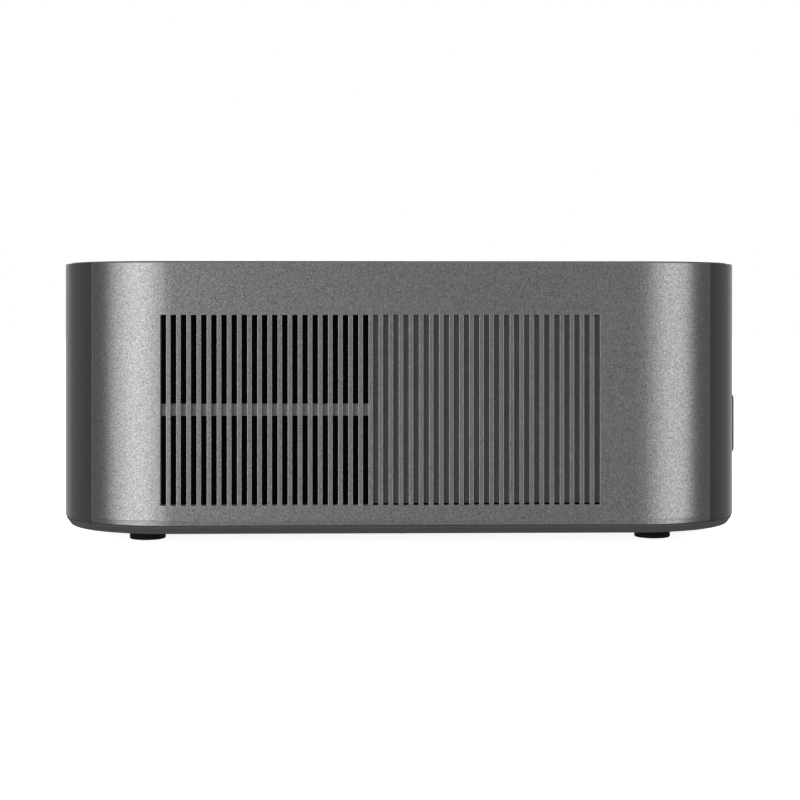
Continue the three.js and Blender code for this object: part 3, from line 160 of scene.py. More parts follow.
# Each row is a lamp's name, its corner, its directions, its distance in metres and its radiance.
standing_lamps = [("front_wide_box", 1, -1, 10.8, 57, 1.7, 3.4),
                  ("front_bright_box", 1, -1, 21, 44, 1.8, 2.0),
                  ("front_edge_box", 1, -1, 57, 67, 1.7, 1.6),
                  ("rear_wide_box", 1, 1, 20, 67, 1.7, 2.1),
                  ("rear_bright_box", 1, 1, 31, 58, 1.8, 1.8)]
for side_y, name in ((-1, "front"), (1, "rear")):
    standing_lamps += [("far_" + name + "_wide_box", -1, side_y, 28, 61, 1.6, 0.75),
                       ("far_" + name + "_bright_box", -1, side_y, 46, 61, 1.7, 1.8)]
for row in standing_lamps:
    standing_box(*row)
soft_box("fill_box", place=(2.4, -0.12, -0.15), aim=(0.25, -0.05, 0.08), width=0.4, height=1.1,
         radiance=0.35)
soft_box("top_box", place=(0.0, 0.0, 1.7), aim=(0, 0, 0), width=1.5, height=1.5, radiance=1.0)

# Grey boards beyond both ends stay out of the picture, and only the shine of the corners shows them.
card, tree = blank_material("grey_card")
fuzz = put(tree, "TexNoise", {"Scale": 90.0, "Detail": 4.0})
shade = put(tree, "MapRange", {"Value": fuzz.outputs[0], "To Min": 0.5, "To Max": 0.56})
face = put(tree, "Emission", {"Color": (1, 1, 1, 1), "Strength": shade.outputs[0]})
put(tree, "OutputMaterial", {"Surface": face.outputs[0]})
board_far, board_near, board_foot, board_rim = -6.5, 0.8, -1.5, 1.8
for name, y in (("front_grey_board", -1.35), ("rear_grey_board", 1.35)):
    board = bpy.data.meshes.new(name)
    board.from_pydata([(board_far, y, board_foot), (board_near, y, board_foot),
                       (board_near, y, board_rim), (board_far, y, board_rim)], [], [(0, 1, 2, 3)])
    board.materials.append(card)
    holder = bpy.data.objects.new(name, board)
    holder.visible_camera = False
    holder.visible_diffuse = False
    holder.visible_transmission = False
    holder.visible_shadow = False
    scene.collection.objects.link(holder)


# Side panels
# Each side is one deep-drawn aluminium shell that wraps half-way round both corners. It has 44 slots:
# the front 21 are punched through for the fan's air, the rest are blind. Metallic sand paint covers it.
MM = 0.001


def node_box(name):
    """A solid's lowest and highest corners at rest, in millimetres to the hundredth."""
    return [[round(value / MM, 2) for value in corner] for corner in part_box(name)]


def middle_of(name):
    return [(low + high) / 2 for low, high in zip(*node_box(name))]


half_width = node_box("right_side_panel")[1][0]
half_depth = -node_box("front_cover")[0][1]
corner_reach, corner_power = 68.7, 2.2
wall = 3.0
seam_angle = math.radians(40.7)
seam_gap = 0.12
seam_rolls = ((0.0, 0.3), (0.08, 0.15), (0.22, 0.05), (0.45, 0.0))
seam_strips = len(seam_rolls) - 1


def corner_point(side_x, side_y, angle, inset):
    reach = corner_reach - inset
    across = reach * max(math.cos(angle), 0) ** (2 / corner_power)
    along = reach * max(math.sin(angle), 0) ** (2 / corner_power)
    return (side_x * (half_width - corner_reach + across),
            side_y * (half_depth - corner_reach + along))


def corner_stations(side_x, side_y, start, stop, steps):
    angles = [start + (stop - start) * i / steps for i in range(steps + 1)]
    return [("corner", side_x, side_y, angle, 0.0) for angle in angles]


def seam_stations(side_x, side_y, angle, toward):
    """The rounded edge of a shell at its seam, from the edge inwards."""
    return [("corner", side_x, side_y, angle + toward * along / corner_reach, roll)
            for along, roll in seam_rolls]


def corner_angle_at(y):
    along = abs(y) - (half_depth - corner_reach)
    return math.asin((along / corner_reach) ** (corner_power / 2)) if along > 0 else 0.0


def spot(station, inset, z, inside=False):
    """A point of a shell in metres. At the edge of an opening the inner skin's place differs from
    the outer one's by the opening's small chamfer, and at a seam the outer skin rolls in."""
    if station[0] == "corner":
        roll = 0.0 if inside else station[4]
        x, y = corner_point(*station[1:4], inset + roll)
    elif station[0] == "slot":
        _, side, outer_place, inner_place = station
        y = inner_place if inside else outer_place
        face = corner_point(side, 1, corner_angle_at(y), 0.0)[0]
        x = face - side * inset
    else:
        _, face_y, outer_place, inner_place = station
        x = inner_place if inside else outer_place
        y = face_y * (half_depth - inset)
    return Vector((x, y, z)) * MM


def join_rings(bm, first, second):
    for a in range(len(first)):
        b = (a + 1) % len(first)
        bm.faces.new((first[a], first[b], second[b], second[a]))


def fill_flat(bm, *loops):
    """Fills a flat face between its outline and the holes in it."""
    points = [[vert.co for vert in loop] for loop in loops]
    verts = [vert for loop in loops for vert in loop]
    for triple in tessellate_polygon(points):
        if len(set(triple)) == 3:
            bm.faces.new([verts[i] for i in triple])


def blind_opening(bm, throat, deep, shade_band):
    """The sides of a blind slot, and the backing strip that is its floor. Painted shade: a flat band
    along the strip's foot, a narrow groove along both of its sides and the slot's bottom wall are
    painted near black. The strip is material 1, the painted shade material 2."""
    across = (deep[1].co - deep[0].co).normalized() * backing_groove * MM
    sunk = (deep[0].co - throat[0].co).normalized() * 2 * backing_groove * MM
    low = [bm.verts.new(vert.co + Vector((0, 0, shade_band)) * MM) for vert in deep[:2]]
    high = [deep[3], deep[2]]
    edges = []
    # painted shade: each side groove of the strip is painted near black
    for n, way in ((0, 1), (1, -1)):
        groove = [bm.verts.new(row[n].co + across * way / 2 + sunk) for row in (low, high)]
        edge = [bm.verts.new(row[n].co + across * way) for row in (low, high)]
        for verts in ((low[n], high[n], groove[1], groove[0]), (groove[0], groove[1], edge[1], edge[0]),
                      (low[n], groove[0], edge[0]), (high[n], groove[1], edge[1])):
            bm.faces.new(verts).material_index = 2
        edges.append(edge)
    # painted shade: the slot's upward-facing bottom wall is painted near black
    bm.faces.new((throat[0], throat[1], deep[1], deep[0])).material_index = 2
    bm.faces.new((throat[1], throat[2], deep[2], low[1], deep[1]))
    bm.faces.new((throat[2], throat[3], deep[3], edges[0][1], edges[1][1], deep[2]))
    bm.faces.new((throat[3], throat[0], deep[0], low[0], deep[3]))
    # painted shade: a flat band at the strip's foot is painted near black, standing for an open gap
    bm.faces.new((deep[0], deep[1], low[1], edges[1][0], edges[0][0], low[0])).material_index = 2
    bm.faces.new((edges[0][0], edges[1][0], edges[1][1], edges[0][1])).material_index = 1


def wall_piece(bm, stations, outer_levels, inner_levels, openings=(), round_holes=(), bare=False):
    """A shell of two skins, closed at its foot, rim and ends. An opening is (first station, last
    station, outer level, inner level, depth), and a depth of None goes right through. A round hole is
    (station, outer level, inner level, outline), with the outline drawn for a growth and an inset.
    Where asked, the seam edges are material 3, a lighter metal that is a painted highlight."""
    outer = [[bm.verts.new(spot(s, inset, z)) for inset, z in outer_levels] for s in stations]
    inner = [[bm.verts.new(spot(s, inset, z, True)) for inset, z in inner_levels] for s in stations]
    no_outer, no_inner = set(), set()
    for first, last, j, k, depth in openings:
        face = outer_levels[j][0]
        low, high = inner_levels[k][1], inner_levels[k + 1][1]
        along = list(range(first, last + 1))
        ring = [(i, low) for i in along] + [(i, high) for i in along[::-1]]
        rim = [outer[i][j] for i in along] + [outer[i][j + 1] for i in along[::-1]]
        throat = [bm.verts.new(spot(stations[i], face + mouth_depth, z, True)) for i, z in ring]
        if depth is None:
            deep = [inner[i][k] for i in along] + [inner[i][k + 1] for i in along[::-1]]
            no_inner.update((i, k) for i in along[:-1])
        else:
            deep = [bm.verts.new(spot(stations[i], face + depth, z, True)) for i, z in ring]
        no_outer.update((i, j) for i in along[:-1])
        join_rings(bm, rim, throat)
        if depth is None:
            join_rings(bm, throat, deep)
        else:
            blind_opening(bm, throat, deep, foot_shade_band)
    for i, j, k, outline in round_holes:
        loops = [[bm.verts.new(p) for p in outline(grow, inset)]
                 for grow, inset in ((mouth, 0.0), (0.0, mouth_depth), (0.0, wall))]
        join_rings(bm, loops[0], loops[1])
        join_rings(bm, loops[1], loops[2])
        fill_flat(bm, [outer[i][j], outer[i + 1][j], outer[i + 1][j + 1], outer[i][j + 1]], loops[0])
        fill_flat(bm, [inner[i][k], inner[i + 1][k], inner[i + 1][k + 1], inner[i][k + 1]], loops[2])
        no_outer.add((i, j))
        no_inner.add((i, k))
    for i in range(len(stations) - 1):
        for j in range(len(outer_levels) - 1):
            if (i, j) not in no_outer:
                face = bm.faces.new((outer[i][j], outer[i + 1][j], outer[i + 1][j + 1], outer[i][j + 1]))
                # painted highlight: the seam strips take the lighter metal
                if bare and not seam_strips <= i < len(stations) - 1 - seam_strips:
                    face.material_index = 3
        for k in range(len(inner_levels) - 1):
            if (i, k) not in no_inner:
                bm.faces.new((inner[i][k], inner[i][k + 1], inner[i + 1][k + 1], inner[i + 1][k]))
        for level in (0, -1):
            bm.faces.new((outer[i][level], outer[i + 1][level], inner[i + 1][level], inner[i][level]))
    for column in (0, -1):
        bm.faces.new(outer[column] + inner[column][::-1])


def even_normals(solid):
    """Keeps large flat faces flat beside their small rounded edges."""
    even = solid.modifiers.new("even", "WEIGHTED_NORMAL")
    even.keep_sharp = True
    even.weight = 80
    even.thresh = 1e-8


def make_piece(name, bm, material, body, replaced=(), smooth=32):
    """Turns a finished mesh into a piece of the projector that rides on its body."""
    bmesh.ops.recalc_face_normals(bm, faces=bm.faces)
    mesh = bpy.data.meshes.new(name)
    bm.to_mesh(mesh)
    bm.free()
    mesh.shade_smooth()
    mesh.set_sharp_from_angle(angle=math.radians(smooth))
    mesh.materials.append(material)
    made = bpy.data.objects.new(name, mesh)
    scene.collection.objects.link(made)
    even_normals(made)
    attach(made, body)
    if replaced:
        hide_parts(*replaced)
    return made


def new_group(name, inputs, outputs):
    """A shader node group with named inputs and outputs, empty but for its two ends."""
    sockets = {"colour": "NodeSocketColor", "value": "NodeSocketFloat", "vector": "NodeSocketVector"}
    group = bpy.data.node_groups.new(name, "ShaderNodeTree")
    for label, kind, start in inputs:
        made = group.interface.new_socket(label, in_out="INPUT", socket_type=sockets[kind])
        made.default_value = start
    for label, kind in outputs:
        group.interface.new_socket(label, in_out="OUTPUT", socket_type=sockets[kind])
    return group, group.nodes.new("NodeGroupInput").outputs, group.nodes.new("NodeGroupOutput").inputs


def place_in_mm(group, size):
    """The point on the piece, counted in steps of size millimetres."""
    point = put(group, "TexCoord").outputs["Object"]
    per_metre = math_node(group, "DIVIDE", 1000.0, size)
    return put(group, "VectorMath", {0: point, "Scale": per_metre}, operation="SCALE").outputs[0]


def tinted(tree, colour, factor):
    grey = put(tree, "CombineColor", {0: factor, 1: factor, 2: factor}).outputs[0]
    return put(tree, "Mix", {0: 1.0, 6: colour, 7: grey}, data_type="RGBA",
               blend_type="MULTIPLY").outputs[2]


def blended(tree, mask, first, second):
    return put(tree, "Mix", {0: mask, 6: first, 7: second}, data_type="RGBA").outputs[2]


# Sparkle: every flake of the paint has its own brightness, and the sand in it stands up a little.
sparkle, given, result = new_group(
    "sparkle",
    [("Colour", "colour", (0.1, 0.1, 0.1, 1)), ("Flake size", "value", 0.6), ("Contrast", "value", 0.4),
     ("Sand size", "value", 0.8)],
    [("Colour", "colour"), ("Height", "value")])
flakes = put(sparkle, "TexVoronoi", {"Vector": place_in_mm(sparkle, given["Flake size"]), "Scale": 1.0})
flake = put(sparkle, "SeparateColor", {0: flakes.outputs["Color"]}).outputs[0]
spread = math_node(sparkle, "SUBTRACT", flake, 0.5)
spread = math_node(sparkle, "MULTIPLY_ADD", spread, given["Contrast"], 1.0)
sparkle.links.new(tinted(sparkle, given["Colour"], spread), result["Colour"])
sand = put(sparkle, "TexNoise", {"Vector": place_in_mm(sparkle, given["Sand size"]), "Scale": 1.0,
                                 "Detail": 2.0, "Roughness": 0.6})
sparkle.links.new(sand.outputs[0], result["Height"])

# Patches: slow changes of colour and shine over a moulded or painted face, with a fine grain in it.
patches, given, result = new_group(
    "patches",
    [("Colour", "colour", (0.1, 0.1, 0.1, 1)), ("Colour change", "value", 0.1),
     ("Patch size", "value", 30.0), ("Roughness", "value", 0.4), ("Roughness change", "value", 0.05),
     ("Grain size", "value", 0.5)],
    [("Colour", "colour"), ("Roughness", "value"), ("Height", "value")])
slow = put(patches, "TexNoise", {"Vector": place_in_mm(patches, given["Patch size"]), "Scale": 1.0,
                                 "Detail": 4.0, "Roughness": 0.55})
swing = put(patches, "MapRange", {"Value": slow.outputs[0], "From Min": 0.3, "From Max": 0.7,
                                  "To Min": -1.0, "To Max": 1.0}).outputs[0]
fine = put(patches, "TexNoise", {"Vector": place_in_mm(patches, given["Grain size"]), "Scale": 1.0,
                                 "Detail": 2.0})
factor = math_node(patches, "MULTIPLY_ADD", swing, given["Colour change"], 1.0)
patches.links.new(tinted(patches, given["Colour"], factor), result["Colour"])
shine = math_node(patches, "MULTIPLY_ADD", swing, given["Roughness change"], given["Roughness"])
patches.links.new(shine, result["Roughness"])
patches.links.new(fine.outputs[0], result["Height"])

# Dust: what settles on faces that look up, thin and uneven.
dust, given, result = new_group("dust", [("Amount", "value", 0.05)], [("Mask", "value")])
up = put(dust, "SeparateXYZ", {0: put(dust, "NewGeometry").outputs["Normal"]}).outputs[2]
up = put(dust, "MapRange", {"Value": up, "From Min": 0.4, "From Max": 0.95}).outputs[0]
lying = put(dust, "TexNoise", {"Vector": place_in_mm(dust, 14.0), "Scale": 1.0, "Detail": 6.0,
                               "Roughness": 0.7}).outputs[0]
lying = put(dust, "MapRange", {"Value": lying, "From Min": 0.35, "From Max": 0.7}).outputs[0]
dust.links.new(math_node(dust, "MULTIPLY", math_node(dust, "MULTIPLY", up, lying), given["Amount"]),
               result["Mask"])

# Edge wear: where a corner is handled, the finish is rubbed thin.
edge_wear, given, result = new_group("edge_wear", [("Radius", "value", 0.4), ("Amount", "value", 0.5)],
                                     [("Mask", "value")])
radius = math_node(edge_wear, "DIVIDE", given["Radius"], 1000.0)
rounded = put(edge_wear, "Bevel", {"Radius": radius}, samples=4).outputs[0]
true = put(edge_wear, "NewGeometry").outputs["Normal"]
match = put(edge_wear, "VectorMath", {0: rounded, 1: true}, operation="DOT_PRODUCT").outputs["Value"]
turned_away = put(edge_wear, "MapRange", {"Value": match, "From Min": 0.995, "From Max": 0.8}).outputs[0]
edge_wear.links.new(math_node(edge_wear, "MULTIPLY", turned_away, given["Amount"]), result["Mask"])


def use_group(tree, group, values):
    made = tree.nodes.new("ShaderNodeGroup")
    made.node_tree = group
    for key, value in values.items():
        made.inputs[key].default_value = value
    return made.outputs


def grey(value, blue=0.0):
    return (value, value, value * (1 + blue), 1.0)


def new_finish(name, **sockets):
    """A material with its Principled shader, whose even values are set on the shader itself."""
    made = bpy.data.materials.new(name)
    made.use_nodes = True
    shader = made.node_tree.nodes["Principled BSDF"]
    for label, value in sockets.items():
        shader.inputs[label.replace("_", " ")].default_value = value
    return made, made.node_tree, shader.inputs


def raise_height(tree, sockets, height, depth, strength=1.0):
    """Height in millimetres of relief, through one bump node into the shader's normal."""
    relief = put(tree, "Bump", {"Height": height, "Distance": depth * MM, "Strength": strength})
    tree.links.new(relief.outputs[0], sockets["Normal"])


def patched(tree, sockets, colour, roughness, patch=20.0, change=0.08, shine_change=0.06, grain=0.3):
    """Slow patches over one finish. Their shine goes straight to its shader."""
    skin_of = use_group(tree, patches, {"Colour": colour, "Colour change": change, "Patch size": patch,
                                        "Roughness": roughness, "Roughness change": shine_change,
                                        "Grain size": grain})
    tree.links.new(skin_of["Roughness"], sockets["Roughness"])
    return skin_of


def plain_finish(name, colour, roughness, specular=0.3, metal=0.0, depth=0.01, strength=0.6,
                 dust_amount=0.0, dust_grey=0.3, **skin):
    """A moulded, cast or drawn finish of one colour. Its grain stands up by depth in millimetres, and
    dust lies on the faces that look up where an amount of it is given."""
    made, tree, sockets = new_finish(name, Metallic=metal, Specular_IOR_Level=specular)
    skin_of = patched(tree, sockets, colour, roughness, **skin)
    colour = skin_of["Colour"]
    if dust_amount:
        settled = use_group(tree, dust, {"Amount": dust_amount})
        colour = blended(tree, settled["Mask"], colour, grey(dust_grey))
    tree.links.new(colour, sockets["Base Color"])
    if depth:
        raise_height(tree, sockets, skin_of["Height"], depth, strength)
    return made


sand_paint, tree, sockets = new_finish("sand_paint", Metallic=0.92, Roughness=0.27)
flake_colour = use_group(tree, sparkle, {"Colour": grey(0.1), "Flake size": 0.36, "Contrast": 0.92,
                                         "Sand size": 0.5})
worn = use_group(tree, edge_wear, {"Radius": 0.3, "Amount": 0.35})
settled = use_group(tree, dust, {"Amount": 0.04})
colour = blended(tree, worn["Mask"], flake_colour["Colour"], grey(0.36))
tree.links.new(blended(tree, settled["Mask"], colour, grey(0.4)), sockets["Base Color"])
raise_height(tree, sockets, flake_colour["Height"], 0.002, 0.5)

# The blind slots end on a strip of dark rough plastic. Round it, a near-black finish is painted shade
# for the gap at its foot, the grooves at its sides and the slot's bottom wall.
slot_backing = plain_finish("slot_backing", grey(0.052), 0.8, 0.1, depth=0.02, patch=12.0, change=0.1,
                            shine_change=0.05, grain=0.4)
painted_slot_shade, tree, sockets = new_finish("painted_slot_shade", Roughness=0.9, Specular_IOR_Level=0.02)
skin_of = use_group(tree, patches, {"Colour": grey(0.0015), "Colour change": 0.3, "Patch size": 3.0})
tree.links.new(skin_of["Colour"], sockets["Base Color"])

# The seam edges take a lighter metal than the paint, a painted highlight for the light their rounded
# edge catches.
seam_highlight_metal, tree, sockets = new_finish("seam_highlight_metal", Metallic=0.95, Roughness=0.3)
flake_colour = use_group(tree, sparkle, {"Colour": grey(0.6), "Flake size": 0.5, "Contrast": 0.4,
                                         "Sand size": 0.5})
tree.links.new(flake_colour["Colour"], sockets["Base Color"])
raise_height(tree, sockets, flake_colour["Height"], 0.002, 0.5)

slot_pitch, slot_width = 5.512, 3.2
slot_front, slot_bottom, slot_top = -132.05, 23.5, 127.6
slot_count, open_slot_count, blind_depth = 44, 21, 2.5
# The first number below is the height of the near-black band of painted shade at each blind slot's foot.
foot_shade_band, backing_groove = 0.9, 0.2
mouth, mouth_depth, skin = 0.2, 0.1, 0.18
shell_foot, shell_rim = 12.56, 156.36
lip_levels = [(0.5, shell_foot), (0.05, 14.85), (0.0, 15.0), (0.03, 15.12), (skin, 15.3)]
rim_levels = [(skin, 155.9), (0.24, 156.12), (0.4, 156.28), (0.68, shell_rim)]
corner_steps, bend_columns, least_turn = 44, 4, 0.004

for side, name in ((1, "right"), (-1, "left")):
    slots = [slot_front + n * slot_pitch for n in range(slot_count)]
    first_angle = corner_angle_at(slots[0] - mouth)
    stations = seam_stations(side, -1, seam_angle, -1)
    stations += [s for s in corner_stations(side, -1, seam_angle, 0.0, corner_steps)[1:]
                 if s[3] > first_angle + least_turn]
    openings = []
    for n, y in enumerate(slots):
        depth = None if n < open_slot_count else blind_depth
        columns = bend_columns if y < corner_reach - half_depth else 1
        openings.append((len(stations), len(stations) + columns, len(lip_levels), 1, depth))
        stations.append(("slot", side, y - mouth, y))
        stations += [("slot", side, y + slot_width * i / columns, y + slot_width * i / columns)
                     for i in range(1, columns)]
        stations.append(("slot", side, y + slot_width + mouth, y + slot_width))
    stations += corner_stations(side, 1, 0.0, seam_angle, corner_steps)[:-1]
    stations += seam_stations(side, 1, seam_angle, -1)[::-1]
    outer_levels = lip_levels + [(skin, slot_bottom - mouth), (skin, slot_top + mouth)] + rim_levels
    inner_levels = [(wall, shell_foot), (wall, slot_bottom), (wall, slot_top), (wall, shell_rim)]
    bm = bmesh.new()
    wall_piece(bm, stations, outer_levels, inner_levels, openings, bare=True)
    shell = make_piece(name + "_panel_shell", bm, sand_paint, "housing", [name + "_side_panel"])
    # Materials 1 to 3 are the slots' backing, their painted near-black shade and the seams' painted
    # highlight.
    for finish in (slot_backing, painted_slot_shade, seam_highlight_metal):
        shell.data.materials.append(finish)


# Front and rear covers
# Two satin black-grey mouldings close the ends and the other half of each corner. The front one holds
# the grille and the receiver's window, the rear one the power button and the socket frame.
satin = plain_finish("satin_cover", grey(0.018), 0.34, 0.15, depth=0.006, strength=0.5, dust_amount=0.01,
                     patch=45.0, shine_change=0.008, grain=0.35)

end_levels = [(0.25, shell_foot), (0.0, 12.8)]
end_rim = [(0.0, 155.9), (0.07, 156.12), (0.25, 156.3), (0.55, shell_rim)]
first_of_end = seam_angle + seam_gap / corner_reach


def rounded_box(x0, x1, y0, y1, radius, steps=10):
    points = []
    for quarter, (x, y) in enumerate(((x1 - radius, y1 - radius), (x0 + radius, y1 - radius),
                                      (x0 + radius, y0 + radius), (x1 - radius, y0 + radius))):
        for i in range(steps + 1):
            angle = (quarter + i / steps) * math.pi / 2
            points.append((x + radius * math.cos(angle), y + radius * math.sin(angle)))
    return points


def outline_on_end(end, centre_x, centre_z, half_wide, half_tall, radius, steps):
    """The outline of a rounded hole in an end cover, drawn for a growth and an inset."""
    def drawn(grow, inset):
        wide, tall = half_wide + grow, half_tall + grow
        outline = rounded_box(centre_x - wide, centre_x + wide, centre_z - tall, centre_z + tall,
                              radius + grow, steps)
        return [Vector((x, end * (half_depth - inset), z)) * MM for x, z in outline]
    return drawn


def cover_stations(end, edges):
    """From one seam round its corner, along the flat, round the other corner to the other seam."""
    stations = seam_stations(-1, end, first_of_end, 1)
    stations += corner_stations(-1, end, first_of_end, math.pi / 2, corner_steps)[1:]
    stations += [("flat", end, outer_x, inner_x) for outer_x, inner_x in edges]
    stations += corner_stations(1, end, math.pi / 2, first_of_end, corner_steps)[:-1]
    return stations + seam_stations(1, end, first_of_end, 1)[::-1]


def round_hole_cell(x, half):
    """The two stations of the cell that a round hole is cut in."""
    return [(x - half, x - half), (x + half, x + half)]


grille_half, grille_bottom, grille_top = 133.5, 18.9, 132.1
window_half, window_low, window_high, window_round, window_steps = 12.0, 137.0, 145.0, 3.7, 8
window_cell, window_rim = 15.0, 3.0
edges = [(-grille_half - mouth, -grille_half), *round_hole_cell(0.0, window_cell),
         (grille_half + mouth, grille_half)]
stations = cover_stations(-1, edges)
first = corner_steps + len(seam_rolls)
window_levels = [window_low - window_rim, window_high + window_rim]
outer_levels = end_levels + [(0, z) for z in (grille_bottom - mouth, grille_top + mouth)]
outer_levels += [(0, z) for z in window_levels] + end_rim
inner_levels = [(wall, z) for z in (shell_foot, grille_bottom, grille_top, *window_levels, shell_rim)]
window_z, window_half_tall = (window_low + window_high) / 2, (window_high - window_low) / 2
window = outline_on_end(-1, 0, window_z, window_half, window_half_tall, window_round, window_steps)
bm = bmesh.new()
wall_piece(bm, stations, outer_levels, inner_levels, [(first, first + 3, 2, 1, None)],
           [(first + 1, 4, 3, window)])
make_piece("front_cover_shell", bm, satin, "housing", ["front_cover"])

socket_frame_lap = 3.0
(x0, _, z0), (x1, _, z1) = node_box("io_bezel")
field_low_x, field_high_x = x0 + socket_frame_lap, x1 - socket_frame_lap
field_low, field_high = z0 + socket_frame_lap, z1 - socket_frame_lap
button_x, _, button_z = middle_of("power_button")
button_hole, button_cell, button_steps = 7.3, 12.0, 12
edges = round_hole_cell(button_x, button_cell)
edges += [(field_low_x - mouth, field_low_x), (field_high_x + mouth, field_high_x)]
stations = cover_stations(1, edges)
outer_levels = end_levels + [(0, field_low - mouth), (0, field_high + mouth)] + end_rim
inner_levels = [(wall, z) for z in (shell_foot, field_low, field_high, shell_rim)]
button_opening = outline_on_end(1, button_x, button_z, button_hole, button_hole, button_hole,
                                button_steps)
bm = bmesh.new()
wall_piece(bm, stations, outer_levels, inner_levels, [(first + 2, first + 3, 2, 1, None)],
           [(first, 2, 1, button_opening)])
make_piece("rear_cover_shell", bm, satin, "housing", ["rear_cover"])


# Top plate
# One flat moulded lid stands half a millimetre proud of the shells, with the light opening in its rear
# half. Its edge is rounded, and so is the edge of the opening.
def whole_outline(inset, steps=corner_steps):
    right = math.pi / 2
    run = (corner_stations(1, -1, right, 0, steps) + corner_stations(1, 1, 0, right, steps)
           + corner_stations(-1, 1, right, 0, steps) + corner_stations(-1, -1, 0, right, steps))
    return [corner_point(*station[1:4], inset) for station in run]


def ring_of(bm, outline, z):
    return [bm.verts.new(Vector((x, y, z)) * MM) for x, y in outline]


def stacked(bm, rings):
    for first, second in zip(rings, rings[1:]):
        join_rings(bm, first, second)


def closed_stack(bm, rings):
    stacked(bm, rings)
    bm.faces.new(rings[0])
    bm.faces.new(rings[-1])


lid_levels = [(3.6, 153.4), (3.3, 153.7), (3.3, 156.9), (3.36, 156.96)]
opening_levels = [(0.3, 156.96), (0.08, 156.88), (0.0, 156.66), (0.0, 153.4)]
opening_half, opening_front, opening_rear, opening_round = 102.0, -4.0, 116.0, 12.0
bm = bmesh.new()
outside = [ring_of(bm, whole_outline(inset), z) for inset, z in lid_levels]
hole = [ring_of(bm, rounded_box(-opening_half - grow, opening_half + grow, opening_front - grow,
                                opening_rear + grow, opening_round + grow), z)
        for grow, z in opening_levels]
stacked(bm, outside)
stacked(bm, hole)
fill_flat(bm, outside[-1], hole[0])
fill_flat(bm, outside[0], hole[-1])
make_piece("lid", bm, satin, "housing", ["top_plate"])


# Sliding lens cover
# A flat shutter of the same moulding as the lid runs in two rails under it. It closes the light well
# at rest and slides forwards, out of the light, when the lamp is on.
shutter_round = 6.0
(x0, y0, z0), (x1, y1, z1) = node_box("lens_cover")
bm = bmesh.new()
rings = [ring_of(bm, rounded_box(x0 + d, x1 - d, y0 + d, y1 - d, shutter_round - d), z)
         for d, z in ((0.2, z0), (0.0, z0 + 0.2), (0.0, z1 - 0.4), (0.1, z1 - 0.12), (0.4, z1))]
closed_stack(bm, rings)
make_piece("shutter", bm, satin, "cover", ["lens_cover"])


# Base tray
# The moulded tray carries everything. Its side slopes in to the floor under the shells' foot, and its
# upstand stands inside them. Bosses take the four feet and posts take the circuit boards.
tray_plastic = plain_finish("tray_plastic", grey(0.042), 0.8, 0.08, depth=0.012, patch=30.0, change=0.07,
                            shine_change=0.05)


def circle(x, y, radius, sides):
    turns = [2 * math.pi * i / sides for i in range(sides)]
    return [(x + radius * math.cos(turn), y + radius * math.sin(turn)) for turn in turns]


underside, tray_floor = 6.5, 9.0
tray_levels = [(12.0, underside), (3.5, 7.62), (3.15, 7.72), (2.85, 7.9), (0.62, 11.1), (0.5, 11.35),
               (0.5, 11.95), (0.75, 12.2), (3.3, 12.2), (3.3, 19.5), (3.5, 19.7), (5.1, 19.7),
               (5.3, 19.5), (5.3, 12.0), (12.0, tray_floor)]
foot_x, foot_y, _ = middle_of("right_rear_foot_pad")
post_inset, post_radius, post_top, post_sides = 8.0, 4.0, 16.0, 20
post_places = []
for board in ("main_board", "power_board"):
    (x0, y0, _), (x1, y1, _) = node_box(board)
    post_places += [(x, y) for x in (x0 + post_inset, x1 - post_inset)
                    for y in (y0 + post_inset, y1 - post_inset)]
stem_hole, boss_radius, boss_top, boss_sides, chamfer = 4.35, 8.0, 25.0, 28, 0.4
boss_profile = [(boss_radius, tray_floor), (boss_radius, boss_top - chamfer),
                (boss_radius - chamfer, boss_top), (stem_hole + chamfer, boss_top),
                (stem_hole, boss_top - chamfer), (stem_hole, underside + chamfer),
                (stem_hole + chamfer, underside)]
post_profile = [(post_radius, tray_floor), (post_radius, post_top - 0.3), (post_radius - 0.3, post_top)]
tray_steps = 24
bm = bmesh.new()
rings = [ring_of(bm, whole_outline(inset, tray_steps), z) for inset, z in tray_levels]
stacked(bm, rings)
under, inside = [rings[0]], [rings[-1]]
for x, y in [(x, y) for x in (-foot_x, foot_x) for y in (-foot_y, foot_y)]:
    boss = [ring_of(bm, circle(x, y, radius, boss_sides), z) for radius, z in boss_profile]
    stacked(bm, boss)
    inside.append(boss[0])
    under.append(boss[-1])
for x, y in post_places:
    post = [ring_of(bm, circle(x, y, radius, post_sides), z) for radius, z in post_profile]
    stacked(bm, post)
    bm.faces.new(post[-1])
    inside.append(post[0])
fill_flat(bm, *under)
fill_flat(bm, *inside)
make_piece("tray", bm, tray_plastic, "housing", ["base_tray"])


